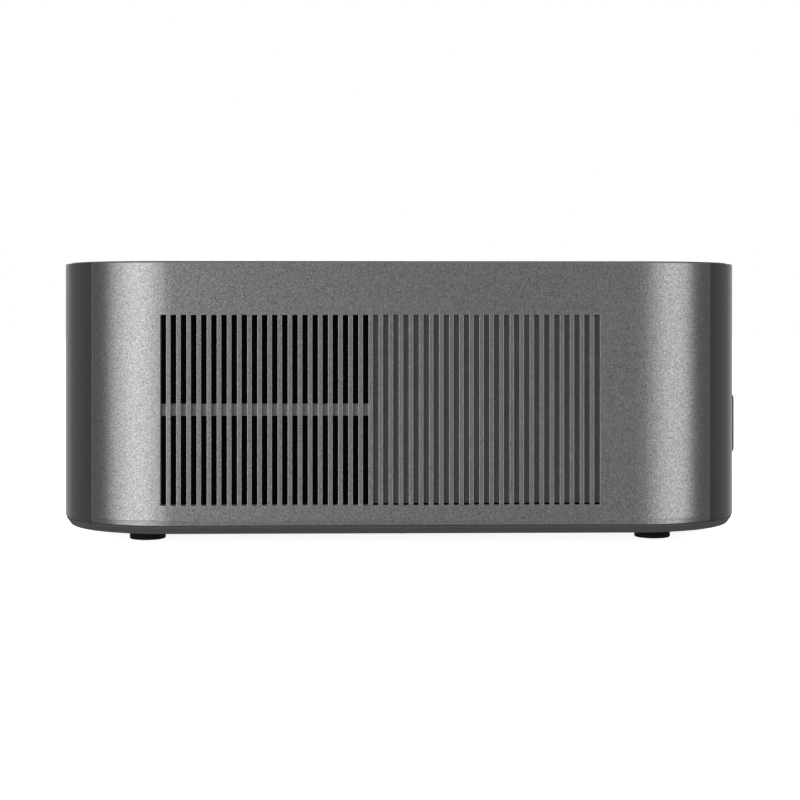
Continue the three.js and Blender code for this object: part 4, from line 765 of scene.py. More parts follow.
# Feet
# Each foot is a rubber pad on a threaded steel stem, screwed up or down in the tray's boss to level
# the picture. The pad is moulded with a rounded foot and a fine grip round its side.
def turned_piece(bm, profile, sides, place, axis="z", closed=False):
    """A turned solid from a profile of (radius, height) in millimetres, from the axis to the axis,
    or a ring where the profile closes on itself."""
    def at(radius, height, angle):
        a, b = radius * math.cos(angle), radius * math.sin(angle)
        if axis == "y":
            return Vector((place[0] + a, place[1] + height, place[2] + b)) * MM
        if axis == "x":
            return Vector((place[0] + height, place[1] + a, place[2] + b)) * MM
        return Vector((place[0] + a, place[1] + b, place[2] + height)) * MM
    rings = []
    for radius, height in profile:
        if radius < 1e-6:
            rings.append([bm.verts.new(at(0, height, 0))])
        else:
            rings.append([bm.verts.new(at(radius, height, 2 * math.pi * i / sides))
                          for i in range(sides)])
    for first, second in zip(rings, rings[1:] + rings[:1] * closed):
        if len(first) == 1 or len(second) == 1:
            tip, ring = (first, second) if len(first) == 1 else (second, first)
            if len(ring) > 1:
                for i in range(sides):
                    bm.faces.new((tip[0], ring[i], ring[(i + 1) % sides]))
        else:
            join_rings(bm, first, second)


pad_rubber = plain_finish("pad_rubber", grey(0.003), 0.75, 0.06, depth=0.03, strength=0.8,
                          dust_amount=0.03, dust_grey=0.2, patch=6.0, change=0.3, shine_change=0.08,
                          grain=0.4)
plated_steel = plain_finish("plated_steel", grey(0.42, 0.03), 0.3, 0.5, 1.0, depth=0.006, strength=0.5,
                            patch=7.0, change=0.12, shine_change=0.08, grain=0.25)

pad_profile = [(0, 0), (9.5, 0), (9.85, 0.08), (10.1, 0.3), (10.2, 0.65), (10.2, 1.6), (10.2, 5.5),
               (10.1, 5.9), (9.8, 6.15), (9.4, 6.24), (4.6, 6.24), (4.3, 5.9), (4.3, 3.24), (0, 3.24)]
thread_pitch, thread_radius, thread_depth, thread_lead, crest_power = 1.5, 3.96, 0.75, 0.5, 1.2
pad_sides, stem_sides, turn_steps = 64, 24, 6
stem_foot, stem_top = (corner[2] for corner in node_box("right_rear_foot_stem"))
thread_rows = int((stem_top - stem_foot - 2 * thread_lead) / thread_pitch * turn_steps)


def threaded_stem(bm, x, y):
    """A stem whose thread is a groove that winds round it."""
    tip = bm.verts.new(Vector((x, y, stem_foot)) * MM)
    rings = []
    for row in range(thread_rows + 1):
        z = stem_foot + thread_lead + row * thread_pitch / turn_steps
        outline = []
        for i in range(stem_sides):
            turn = (z / thread_pitch - i / stem_sides) % 1.0
            radius = thread_radius - thread_depth * abs(2 * turn - 1) ** crest_power
            angle = 2 * math.pi * i / stem_sides
            outline.append((x + radius * math.cos(angle), y + radius * math.sin(angle)))
        rings.append(ring_of(bm, outline, z))
    stacked(bm, rings)
    for i in range(stem_sides):
        bm.faces.new((tip, rings[0][(i + 1) % stem_sides], rings[0][i]))
    bm.faces.new(rings[-1])


for side, side_name in ((1, "right"), (-1, "left")):
    for end, end_name in ((-1, "front"), (1, "rear")):
        name = side_name + "_" + end_name
        x, y = side * foot_x, end * foot_y
        bm = bmesh.new()
        turned_piece(bm, pad_profile, pad_sides, (x, y, 0))
        make_piece(name + "_pad", bm, pad_rubber, name + "_pad", [name + "_foot_pad"])
        bm = bmesh.new()
        threaded_stem(bm, x, y)
        make_piece(name + "_stem_thread", bm, plated_steel, name + "_stem",
                   [name + "_foot_stem"], smooth=50)


# Vent frames and dust screens
# Behind the open slots of each side sits a moulded frame with one level bar, and behind it a fine
# black nylon screen that keeps dust from the fan.
def dress(material, *names, edge=0.0):
    """Gives CAD pieces their material, and rounds their edges where an edge size is given."""
    for name in names:
        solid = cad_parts[name]
        solid.data.materials.clear()
        solid.data.materials.append(material)
        if edge:
            weld = solid.modifiers.new("weld", "WELD")
            weld.merge_threshold = 1e-6
            bevel = solid.modifiers.new("bevel", "BEVEL")
            bevel.width = edge * MM
            bevel.segments = 2
            bevel.limit_method = "ANGLE"
            bevel.angle_limit = math.radians(35)
            bevel.use_clamp_overlap = True


frame_plastic = plain_finish("frame_plastic", grey(0.14), 0.55, strength=0.5, shine_change=0.05)
dress(frame_plastic, "right_vent_frame", "left_vent_frame", edge=0.3)

screen_weave, given, result = new_group("screen_weave", [("Pitch", "value", 0.5)], [("Thread", "value")])
cell = put(screen_weave, "SeparateXYZ", {0: place_in_mm(screen_weave, given["Pitch"])}).outputs
rows_of = math_node(screen_weave, "PINGPONG", cell[2], 0.5)
files_of = math_node(screen_weave, "PINGPONG", cell[1], 0.5)
screen_weave.links.new(math_node(screen_weave, "MAXIMUM", rows_of, files_of), result["Thread"])

dust_screen, tree, sockets = new_finish("dust_screen", Roughness=0.9, Specular_IOR_Level=0.05)
thread = use_group(tree, screen_weave, {"Pitch": 0.6})["Thread"]
shade = put(tree, "MapRange", {"Value": thread, "From Min": 0.3, "From Max": 0.5, "To Min": 0.0008,
                               "To Max": 0.004}).outputs[0]
tree.links.new(tinted(tree, grey(1.0), shade), sockets["Base Color"])
raise_height(tree, sockets, thread, 0.1, 0.6)
dress(dust_screen, "right_vent_screen", "left_vent_screen")


# Loudspeaker grille
# A moulded plate with 47 slots clips into the front cover, in front of both loudspeakers. It is the
# covers' own plastic, and its slots repeat those of the sides.
grille_slot_count, grille_back, plate_gap, plate_edge = 47, 2.6, 0.3, 0.3
plate_half = grille_half - plate_gap
plate_bottom, plate_top = grille_bottom + plate_gap, grille_top - plate_gap
stations = [("flat", -1, -plate_half, -plate_half)]
openings = []
for n in range(grille_slot_count):
    x = (n - (grille_slot_count - 1) / 2) * slot_pitch - slot_width / 2
    openings.append((len(stations), len(stations) + 1, 2, 1, None))
    stations += [("flat", -1, x - mouth, x), ("flat", -1, x + slot_width + mouth, x + slot_width)]
stations.append(("flat", -1, plate_half, plate_half))
outer_levels = [(plate_edge, plate_bottom), (0.0, plate_bottom + plate_edge), (0.0, slot_bottom - mouth),
                (0.0, slot_top + mouth), (0.0, plate_top - plate_edge), (plate_edge, plate_top)]
inner_levels = [(grille_back, z) for z in (plate_bottom, slot_bottom, slot_top, plate_top)]
bm = bmesh.new()
wall_piece(bm, stations, outer_levels, inner_levels, openings)
make_piece("front_grille", bm, satin, "housing", ["speaker_grille"])


# Receiver window
# The remote control's receiver looks out through a smoked plastic window over the grille. Its flange
# is held behind the front cover.
smoked = plain_finish("smoked_window", (0.006, 0.004, 0.005, 1), 0.09, 0.5, depth=0.001, strength=0.3,
                      patch=5.0, change=0.2, shine_change=0.03, grain=0.6)


def outline_rings(bm, outline, levels):
    """One outline at every (growth, inset) of a list."""
    return [[bm.verts.new(point) for point in outline(grow, inset)] for grow, inset in levels]


window_gap, flange, flange_front, flange_back = 0.3, 2.0, 3.3, 5.3
pane = outline_on_end(-1, 0, window_z, window_half - window_gap, window_half_tall - window_gap,
                      window_round - window_gap, 10)
bm = bmesh.new()
closed_stack(bm, outline_rings(bm, pane, [(flange, flange_back), (flange, flange_front),
                                          (0.0, flange_front), (0.0, 0.6), (-0.1, 0.38), (-0.3, 0.3)]))
make_piece("receiver_window", bm, smoked, "housing", ["ir_window"])


# Loudspeakers
# Two closed plastic boxes stand on the tray behind the grille. Each holds a long-throw driver with a
# paper cone on a rubber roll in a pressed steel basket, and a small dome beside it.
black_plastic = plain_finish("black_plastic", grey(0.012), 0.5)
black_steel = plain_finish("black_steel", grey(0.02), 0.4, 0.5, patch=9.0)
roll_rubber = plain_finish("roll_rubber", grey(0.007), 0.55, 0.35, patch=8.0)
cone_paper = plain_finish("cone_paper", grey(0.026, 0.05), 0.85, 0.15, patch=3.0, change=0.35, grain=0.9,
                          depth=0.06)
dress(black_plastic, "right_speaker_box", "left_speaker_box", edge=0.8)


def screw_head(bm, at, radius, height):
    """A pan head with a cross in it, drawn round at(across, up, out)."""
    head_sides = 24
    rings = [[bm.verts.new(at(a, b, height * rise)) for a, b in circle(0, 0, radius * share, head_sides)]
             for share, rise in ((1.0, 0.0), (1.0, 0.45), (0.93, 0.8), (0.78, 1.0))]
    stacked(bm, rings)
    arm, tip, taper, cross_floor = 0.13 * radius, 0.52 * radius, 0.8, 0.35 * height
    cross = [(tip, arm), (arm, arm), (arm, tip), (-arm, tip), (-arm, arm), (-tip, arm), (-tip, -arm),
             (-arm, -arm), (-arm, -tip), (arm, -tip), (arm, -arm), (tip, -arm)]
    brim = [bm.verts.new(at(a, b, height)) for a, b in cross]
    floor_ring = [bm.verts.new(at(taper * a, taper * b, cross_floor)) for a, b in cross]
    fill_flat(bm, rings[-1], brim)
    join_rings(bm, brim, floor_ring)
    fill_flat(bm, floor_ring)
    bm.faces.new(rings[0])


# Each point of a profile is a radius and a place along Y, where the lowest is nearest to the front.
basket = [(0, -165), (38.8, -165), (39, -165.2), (39, -181.3), (38.7, -181.6), (38.3, -181.7),
          (36.3, -181.7), (35.6, -181.2), (35.3, -179.4), (35.0, -172.0), (14.0, -166.4), (0, -166.4)]
half_turn = [math.pi * i / 12 for i in range(13)]
tenths = [i / 10 for i in range(11)]
roll = [(31.9 + 3.3 * math.cos(a), -178.8 - 2.1 * math.sin(a)) for a in half_turn]
roll += [(31.9 - 2.8 * math.cos(a), -178.3 - 1.7 * math.sin(a)) for a in half_turn]
cone = [(29.2 - 17.6 * t, -178.9 + 9.4 * t ** 0.85) for t in tenths]
cone += [(11.6 + 17.8 * t, -169.0 - 9.3 * t ** 1.15) for t in tenths]
cap = [(12.3 * t, -175.7 + 5.4 * t * t) for t in [i / 12 for i in range(13)]]
cap += [(12.3, -169.6), (0, -169.6)]
dome = [(10.2 * t, -181.5 + 2.5 * t * t) for t in tenths] + [(10.2, -178.8), (0, -178.8)]
dome_ring = [(12.6, -178.9), (12.6, -181.3), (12.3, -181.6), (11.4, -181.6), (10.9, -181.2),
             (10.6, -179.2)]
screw_circle, screw_radius, screw_height, speaker_sides = 37.5, 1.4, 0.8, 72
tweeter_inset, tweeter_drop = 16.0, 16.3
for side, side_name in ((1, "right"), (-1, "left")):
    woofer_x, _, woofer_z = middle_of(side_name + "_woofer")
    woofer_face = node_box(side_name + "_woofer")[0][1]
    _, (box_outside, _, box_top) = node_box("right_speaker_box")
    centre = (woofer_x, 0.0, woofer_z)
    tweeter = (side * (box_outside - tweeter_inset), 0.0, box_top - tweeter_drop)
    for name, profile, place, closed, finish, slot, replaced in (
            ("basket", basket, centre, False, black_steel, "cone", [side_name + "_woofer"]),
            ("roll", roll, centre, True, roll_rubber, "rubber", []),
            ("cone", cone, centre, True, cone_paper, "cone", []),
            ("dust_cap", cap, centre, False, cone_paper, "cone", []),
            ("dome", dome, tweeter, False, cone_paper, "cone", []),
            ("dome_ring", dome_ring, tweeter, True, black_steel, "black", [])):
        bm = bmesh.new()
        turned_piece(bm, profile, speaker_sides, place, "y", closed)
        make_piece(side_name + "_speaker_" + name, bm, finish, "housing", replaced, smooth=40)
    bm = bmesh.new()
    for quarter in range(4):
        angle = math.radians(45 + 90 * quarter)
        x = woofer_x + screw_circle * math.cos(angle)
        z = woofer_z + screw_circle * math.sin(angle)
        screw_head(bm, lambda a, b, out: Vector((x + a, woofer_face - out, z + b)) * MM,
                   screw_radius, screw_height)
    make_piece(side_name + "_speaker_screws", bm, black_steel, "housing")


# Socket frame
# A black moulded frame stands proud of the rear cover. Its neck goes through the cover, and the sockets
# sit in the floor of its recess.
frame_x, _, frame_z = middle_of("io_bezel")
_, (frame_right, _, frame_top) = node_box("io_bezel")
frame_half_wide, frame_half_tall = frame_right - frame_x, frame_top - frame_z
neck_inset, recess_inset = 3.3, 6.0
frame_proud, frame_gap, recess_floor, neck_back, hole_gap = 4.3, 0.3, 5.0, 7.0, 0.3
frame_out = outline_on_end(1, frame_x, frame_z, frame_half_wide, frame_half_tall, radius=3, steps=8)
frame_neck = outline_on_end(1, frame_x, frame_z, frame_half_wide - neck_inset,
                            frame_half_tall - neck_inset, radius=0.5, steps=3)
frame_recess = outline_on_end(1, frame_x, frame_z, frame_half_wide - recess_inset,
                              frame_half_tall - recess_inset, radius=1.5, steps=5)


def drawn_rings(bm, outline, levels):
    rings = outline_rings(bm, outline, levels)
    stacked(bm, rings)
    return rings


bm = bmesh.new()
outside = drawn_rings(bm, frame_out, [(0, -frame_gap), (0, 0.8 - frame_proud),
                                      (-0.12, 0.4 - frame_proud), (-0.4, 0.12 - frame_proud),
                                      (-0.8, -frame_proud)])
recess = drawn_rings(bm, frame_recess, [(0.5, -frame_proud), (0.15, 0.15 - frame_proud),
                                        (0, 0.5 - frame_proud), (0, recess_floor)])
neck = drawn_rings(bm, frame_neck, [(0, neck_back), (0, -frame_gap)])
fill_flat(bm, outside[-1], recess[0])
fill_flat(bm, outside[0], neck[-1])
holes = []
for node in ("ac_inlet", "picture_socket_1", "picture_socket_2", "data_socket", "network_socket"):
    (low_x, _, low_z), (high_x, _, high_z) = node_box(node)
    hole = outline_on_end(1, (low_x + high_x) / 2, (low_z + high_z) / 2,
                          (high_x - low_x) / 2 + hole_gap, (high_z - low_z) / 2 + hole_gap,
                          radius=0.6, steps=3)
    holes.append(drawn_rings(bm, hole, [(0, recess_floor), (0, neck_back)]))
fill_flat(bm, recess[-1], *[hole[0] for hole in holes])
fill_flat(bm, neck[0], *[hole[-1] for hole in holes])
make_piece("socket_frame", bm, black_plastic, "housing", ["io_bezel"])


# Sockets
# The mains inlet is black plastic with three blades. The picture, data and network sockets are folded
# from plated sheet round a plastic tongue with gold contacts, and stand on a small board of their own.
dress(black_plastic, "ac_inlet", edge=0.3)
dress(plated_steel, "picture_socket_1", "picture_socket_2", "data_socket", "network_socket", edge=0.15)

stripes, given, result = new_group("stripes", [("Pitch", "value", 0.5), ("Width", "value", 0.6)],
                                   [("Mask", "value")])
across = put(stripes, "SeparateXYZ", {0: place_in_mm(stripes, given["Pitch"])}).outputs[0]
stripe = math_node(stripes, "LESS_THAN", math_node(stripes, "FRACT", across), given["Width"])
stripes.links.new(stripe, result["Mask"])

contact_tongue, tree, sockets = new_finish("contact_tongue")
gilt = use_group(tree, stripes, {"Pitch": 1.0, "Width": 0.5})["Mask"]
skin_of = patched(tree, sockets, grey(0.015), 0.4, patch=3.0, change=0.1, shine_change=0.05, grain=0.2)
tree.links.new(blended(tree, gilt, skin_of["Colour"], (0.75, 0.5, 0.2, 1)), sockets["Base Color"])
tree.links.new(gilt, sockets["Metallic"])
raise_height(tree, sockets, gilt, 0.05, 0.5)


def soft_block(bm, low, high, edge):
    """A block with its edges rounded over, for small plastic and metal parts."""
    made = bmesh.ops.create_cube(bm, size=1.0)["verts"]
    for vert in made:
        place = [(low[i] + high[i]) / 2 + vert.co[i] * (high[i] - low[i]) for i in range(3)]
        vert.co = Vector(place) * MM
    edges = list({e for vert in made for e in vert.link_edges})
    bmesh.ops.bevel(bm, geom=edges, offset=edge * MM, segments=2, profile=0.5, affect="EDGES")


# Each tongue stands 0.15 mm over the solid's own on every side, so that it hides it.
tongue_root, tongue_half_thick, tongue_skin, mouth_setback = 175.2, 0.5, 0.15, 5.85
socket_mouth = node_box("ac_inlet")[1][1]
for name, solid, wide, rise in (("picture_1", "picture_socket_1", 10.0, 0.0),
                                ("picture_2", "picture_socket_2", 10.0, 0.0),
                                ("data", "data_socket", 11.6, 1.0),
                                ("network", "network_socket", 9.0, 3.2)):
    x, _, z = middle_of(solid)
    half_wide, half_thick = wide / 2 + tongue_skin, tongue_half_thick + tongue_skin
    bm = bmesh.new()
    soft_block(bm, (x - half_wide, tongue_root, z + rise - half_thick),
               (x + half_wide, socket_mouth - mouth_setback, z + rise + half_thick), edge=0.12)
    make_piece(name + "_socket_tongue", bm, contact_tongue, "housing")
blade_root, blade_half_wide, blade_half_tall = 173.5, 1.1, 2.6
inlet_x, _, inlet_z = middle_of("ac_inlet")
bm = bmesh.new()
for across, up in ((-7.0, -1.5), (0.0, 1.5), (7.0, -1.5)):
    x, z = inlet_x + across, inlet_z + up
    soft_block(bm, (x - blade_half_wide, blade_root, z - blade_half_tall),
               (x + blade_half_wide, socket_mouth - mouth_setback, z + blade_half_tall), edge=0.4)
make_piece("mains_blades", bm, plated_steel, "housing")


# Power button
# A round plastic key with a shallow dish, beside the sockets. It slides in the rear cover on its stem,
# and its collar stops it from inside.
key = [(0, 179.7), (2.7, 179.7), (3, 180.0), (3, 187.7), (8.8, 187.7), (9, 187.9), (9, 190.5),
       (8.8, 190.7), (7, 190.7), (7, 194.2), (6.93, 194.5), (6.75, 194.72), (6.45, 194.8),
       (6.1, 194.77), (5.0, 194.62), (3.0, 194.5), (0, 194.45)]
bm = bmesh.new()
turned_piece(bm, key, sides=64, place=(button_x, 0.0, button_z), axis="y")
make_piece("power_key", bm, satin, "power_button", ["power_button"])


# Light well and its glass
# Under the sliding cover a tapered black well leads down to a tilted, coated glass that keeps dust
# out of the lens and lets the picture out.
well_black = plain_finish("well_black", grey(0.006), 0.85, 0.1, patch=14.0, depth=0.03)
dress(well_black, "light_well", edge=0.4)

clear_glass, tree, sockets = new_finish("clear_glass", Metallic=0.0, Transmission_Weight=0.92, IOR=1.45)
film = patched(tree, sockets, (0.78, 0.86, 0.9, 1), 0.03, patch=25.0, change=0.03, shine_change=0.02,
               grain=2.0)
tree.links.new(film["Colour"], sockets["Base Color"])
dress(clear_glass, "exit_glass", edge=0.3)


# Mirror and its bracket
# A curved mirror of coated glass hangs in front of the lens and throws the picture up through the well.
# A cast bracket carries it from the tray, painted black against stray light.
(_, _, mirror_low), (mirror_half, _, mirror_high) = node_box("mirror")
mirror_back, bend_across, bend_up, lean = -66.0, 260.0, 220.0, 0.35
mirror_columns, mirror_rows, mirror_thick, mirror_edge = 48, 34, 5.0, 0.4


def mirror_face(x, z):
    up = z - mirror_low
    return mirror_back + x * x / bend_across + up * up / bend_up - lean * up


silvered = plain_finish("silvered", (0.86, 0.88, 0.9, 1), 0.03, 0.5, 1.0, depth=0.0, dust_amount=0.05,
                        dust_grey=0.5, patch=40.0, change=0.015, shine_change=0.015, grain=1.0)
bm = bmesh.new()
sheets = []
for depth, drawn_in in ((0.0, mirror_edge), (mirror_edge, 0.0), (mirror_thick, 0.0)):
    sheet = []
    for j in range(mirror_rows + 1):
        z = mirror_low + drawn_in + (mirror_high - mirror_low - 2 * drawn_in) * j / mirror_rows
        xs = [(mirror_half - drawn_in) * (2 * i / mirror_columns - 1)
              for i in range(mirror_columns + 1)]
        sheet.append([bm.verts.new(Vector((x, mirror_face(x, z) - depth, z)) * MM) for x in xs])
    sheets.append(sheet)
for sheet in (sheets[0], sheets[2]):
    for j in range(mirror_rows):
        for i in range(mirror_columns):
            bm.faces.new((sheet[j][i], sheet[j][i + 1], sheet[j + 1][i + 1], sheet[j + 1][i]))
rims = [sheet[0] + [row[-1] for row in sheet[1:]] + sheet[-1][-2::-1]
        + [row[0] for row in sheet[-2:0:-1]] for sheet in sheets]
stacked(bm, rims)
bmesh.ops.delete(bm, geom=[v for v in bm.verts if not v.link_faces], context="VERTS")
make_piece("curved_mirror", bm, silvered, "housing", ["mirror"])
cast_metal = plain_finish("cast_metal", grey(0.38, 0.02), 0.45, 0.5, 0.9, depth=0.04, patch=11.0,
                          change=0.12, grain=0.7)
black_casting = plain_finish("black_casting", grey(0.01), 0.6, depth=0.03, patch=9.0, grain=0.6)
dress(black_casting, "mirror_bracket", edge=0.5)


# Lens, focus ring and their drive
# A black anodised barrel holds the lens, bolted by its flange to the optical engine. The toothed sector
# of the focus ring meshes with a small nylon gear on a geared motor.
anodised = plain_finish("black_anodised", grey(0.014), 0.35, 0.5, 0.5, patch=16.0, depth=0.006)
natural_nylon = plain_finish("natural_nylon", (0.6, 0.58, 0.52, 1), 0.45, 0.4, patch=10.0, change=0.04)
dress(anodised, "lens_barrel", "focus_ring", edge=0.2)
dress(natural_nylon, "focus_gear", edge=0.1)
dress(plated_steel, "focus_motor", edge=0.3)
lens_x, _, lens_z = middle_of("lens_barrel")
front_glass = [(21.4 * t, 14.4 + 4.2 * t * t) for t in tenths] + [(21.4, 22.6), (0, 22.6)]
lens_ring = [(21.9, 12.6), (21.9, 14.9), (20.0, 16.9), (19.4, 16.5), (19.4, 12.9), (19.7, 12.6)]
for name, profile, finish, slot, closed in (("front_lens", front_glass, clear_glass, "glass", False),
                                            ("lens_retainer", lens_ring, anodised, "black", True)):
    bm = bmesh.new()
    turned_piece(bm, profile, sides=64, place=(lens_x, 0, lens_z), axis="y", closed=closed)
    make_piece(name, bm, finish, "housing")


# Cover drive
# Two nylon rails guide the sliding cover under the lid. A rack on the cover's right edge meshes with a
# pinion on a geared motor that hangs from the rail.
dress(natural_nylon, "cover_rack", "cover_pinion", edge=0.1)
rail_nylon = plain_finish("rail_nylon", grey(0.018), 0.4, 0.35, patch=12.0)
dress(rail_nylon, "right_cover_rail", "left_cover_rail", edge=0.3)
dress(plated_steel, "cover_motor", edge=0.4)


# Optical engine, colour wheel and laser bank
# A cast magnesium housing holds the chip and its prisms, with a finned sink on the chip. The colour
# wheel spins before the laser bank on a small motor.
dress(cast_metal, "engine_housing", edge=0.6)
fin_metal = plain_finish("fin_metal", grey(0.5, 0.01), 0.36, 0.5, 0.95, patch=9.0, change=0.1, grain=0.4)
dress(fin_metal, "chip_heat_sink")
dress(cast_metal, "laser_bank", edge=0.5)
dress(plated_steel, "wheel_motor", edge=0.3)

wheel_bands, given, result = new_group(
    "wheel_bands", [("Inner radius", "value", 20.0), ("Segments", "value", 3.0)],
    [("Band", "value"), ("Segment", "value")])
hub = middle_of("colour_wheel")
seen_from_hub = put(wheel_bands, "VectorMath", {0: place_in_mm(wheel_bands, 1.0), 1: hub},
                    operation="SUBTRACT").outputs[0]
part_of = put(wheel_bands, "SeparateXYZ", {0: seen_from_hub}).outputs
flat_y = math_node(wheel_bands, "MULTIPLY", part_of[1], part_of[1])
flat_z = math_node(wheel_bands, "MULTIPLY", part_of[2], part_of[2])
reach = math_node(wheel_bands, "SQRT", math_node(wheel_bands, "ADD", flat_y, flat_z))
wheel_bands.links.new(math_node(wheel_bands, "GREATER_THAN", reach, given["Inner radius"]),
                      result["Band"])
turn = math_node(wheel_bands, "ARCTAN2", part_of[2], part_of[1])
turn = math_node(wheel_bands, "MULTIPLY_ADD", turn, 1 / (2 * math.pi), 0.5)
turn = math_node(wheel_bands, "FLOOR", math_node(wheel_bands, "MULTIPLY", turn, given["Segments"]))
wheel_bands.links.new(math_node(wheel_bands, "DIVIDE", turn, given["Segments"]), result["Segment"])

wheel_finish, tree, sockets = new_finish("wheel_finish")
bands = use_group(tree, wheel_bands, {"Inner radius": 19.5, "Segments": 3.0})
skin_of = patched(tree, sockets, grey(0.7), 0.3, patch=6.0, change=0.04)
phosphor = put(tree, "ValToRGB", {0: bands["Segment"]})
phosphor.color_ramp.interpolation = "CONSTANT"
phosphor.color_ramp.elements[0].color = (0.85, 0.7, 0.08, 1)
phosphor.color_ramp.elements[1].position = 0.6
phosphor.color_ramp.elements[1].color = (0.75, 0.78, 0.8, 1)
middle = phosphor.color_ramp.elements.new(0.3)
middle.color = (0.2, 0.62, 0.12, 1)
colour = blended(tree, bands["Band"], skin_of["Colour"], phosphor.outputs[0])
tree.links.new(colour, sockets["Base Color"])
tree.links.new(math_node(tree, "SUBTRACT", 1.0, bands["Band"]), sockets["Metallic"])
raise_height(tree, sockets, skin_of["Height"], 0.01, 0.5)
dress(wheel_finish, "colour_wheel")


# Heat pipes and the left heat sink
# Two copper pipes carry the lasers' heat to a stack of aluminium fins in front of the left fan.
copper = plain_finish("drawn_copper", (0.6, 0.25, 0.12, 1), 0.3, 0.5, 1.0, patch=13.0, change=0.12)
pipe_half, pipe_radius, pipe_play, pipe_bend, bend_steps, pipe_sides = 4.0, 3.95, 0.05, 20.0, 12, 20
for name in ("upper", "lower"):
    low, high = node_box(name + "_heat_pipe")
    run_x, lead_y, pipe_z = low[0] + pipe_half, high[1] - pipe_half, (low[2] + high[2]) / 2
    path = [(high[0] - pipe_play, lead_y, 0.0)]
    for i in range(bend_steps + 1):
        turn = math.pi / 2 * i / bend_steps
        path.append((run_x + pipe_bend * (1 - math.sin(turn)),
                     lead_y - pipe_bend * (1 - math.cos(turn)), turn))
    path.append((run_x, low[1] + pipe_play, math.pi / 2))
    bm = bmesh.new()
    rings = []
    for x, y, turn in path:
        section = [(x + across * math.sin(turn), y - across * math.cos(turn), pipe_z + up)
                   for across, up in circle(0, 0, pipe_radius, pipe_sides)]
        rings.append([bm.verts.new(Vector(point) * MM) for point in section])
    closed_stack(bm, rings)
    make_piece(name + "_copper_pipe", bm, copper, "housing", [name + "_heat_pipe"])
dress(fin_metal, "left_heat_sink")


# Fans
# Two 100 mm fans stand on the tray, one behind each side's slots. Frame and seven-bladed rotor are
# moulded in black filled plastic.
fan_plastic = plain_finish("fan_plastic", grey(0.014), 0.5, 0.3, patch=18.0)
rotor_plastic = plain_finish("rotor_plastic", grey(0.01), 0.38, 0.35, patch=12.0)
dress(fan_plastic, "right_fan_frame", "left_fan_frame", edge=0.4)
dress(rotor_plastic, "right_fan_rotor", "left_fan_rotor")


# Circuit boards
# Green laminate boards lie on the tray's posts, the main one on the left with a finned sink on its
# processor, the power supply on the right with its transformer and three capacitors. A third board
# stands upright at the sockets.
tracks, given, result = new_group("tracks", [("Spacing", "value", 3.0), ("Joint spacing", "value", 4.0)],
                                  [("Track", "value"), ("Joint", "value")])
lines = put(tracks, "TexBrick", {"Vector": place_in_mm(tracks, given["Spacing"]), "Scale": 1.0,
                                 "Mortar Size": 0.06, "Bias": 0.0})
tracks.links.new(lines.outputs["Fac"], result["Track"])
joints = put(tracks, "TexVoronoi", {"Vector": place_in_mm(tracks, given["Joint spacing"]), "Scale": 1.0})
tracks.links.new(math_node(tracks, "LESS_THAN", joints.outputs["Distance"], 0.16), result["Joint"])

laminate, tree, sockets = new_finish("green_laminate")
drawn = use_group(tree, tracks, {"Spacing": 3.0, "Joint spacing": 4.5})
skin_of = patched(tree, sockets, (0.012, 0.07, 0.028, 1), 0.38, patch=9.0, change=0.15, grain=0.5)
colour = blended(tree, drawn["Track"], skin_of["Colour"], (0.03, 0.14, 0.05, 1))
tree.links.new(blended(tree, drawn["Joint"], colour, grey(0.6)), sockets["Base Color"])
tree.links.new(drawn["Joint"], sockets["Metallic"])
raise_height(tree, sockets, drawn["Track"], 0.05, 0.4)
dress(laminate, "io_board")

shrink_sleeve = plain_finish("shrink_sleeve", (0.008, 0.012, 0.03, 1), 0.3, 0.5, patch=8.0)
coil_tape = plain_finish("coil_tape", (0.62, 0.42, 0.05, 1), 0.35, 0.4, patch=6.0, change=0.06)
ferrite = plain_finish("ferrite", grey(0.03), 0.6, depth=0.04, patch=5.0, change=0.2, grain=0.6)
moulded_chip = plain_finish("moulded_chip", grey(0.01), 0.6, 0.3, patch=4.0)
board_thick = 1.6
for name in ("main_board", "power_board"):
    low, (x1, y1, _) = node_box(name)
    board_face = low[2] + board_thick
    bm = bmesh.new()
    soft_block(bm, low, (x1, y1, board_face), edge=0.1)
    make_piece(name + "_laminate", bm, laminate, "housing", [name])

fin_half, fin_count, fin_thick, fin_foot, fin_top = 17.0, 9, 1.2, 19.5, 33.1
sink_x, sink_y, sink_floor = -143.5, 40.5, 22.4
outline = [(fin_half, fin_foot), (-fin_half, fin_foot)]
for n in range(fin_count):
    left = -fin_half + n * (2 * fin_half - fin_thick) / (fin_count - 1)
    right = left + fin_thick
    outline += [(left, sink_floor)] * (n > 0) + [(left, fin_top), (right, fin_top), (right, sink_floor)]
bm = bmesh.new()
rings = [[bm.verts.new(Vector((x, sink_y + a, z)) * MM) for a, z in outline]
         for x in (sink_x - fin_half, sink_x + fin_half)]
stacked(bm, rings)
fill_flat(bm, rings[0])
fill_flat(bm, rings[1])
make_piece("processor_sink", bm, fin_metal, "housing")

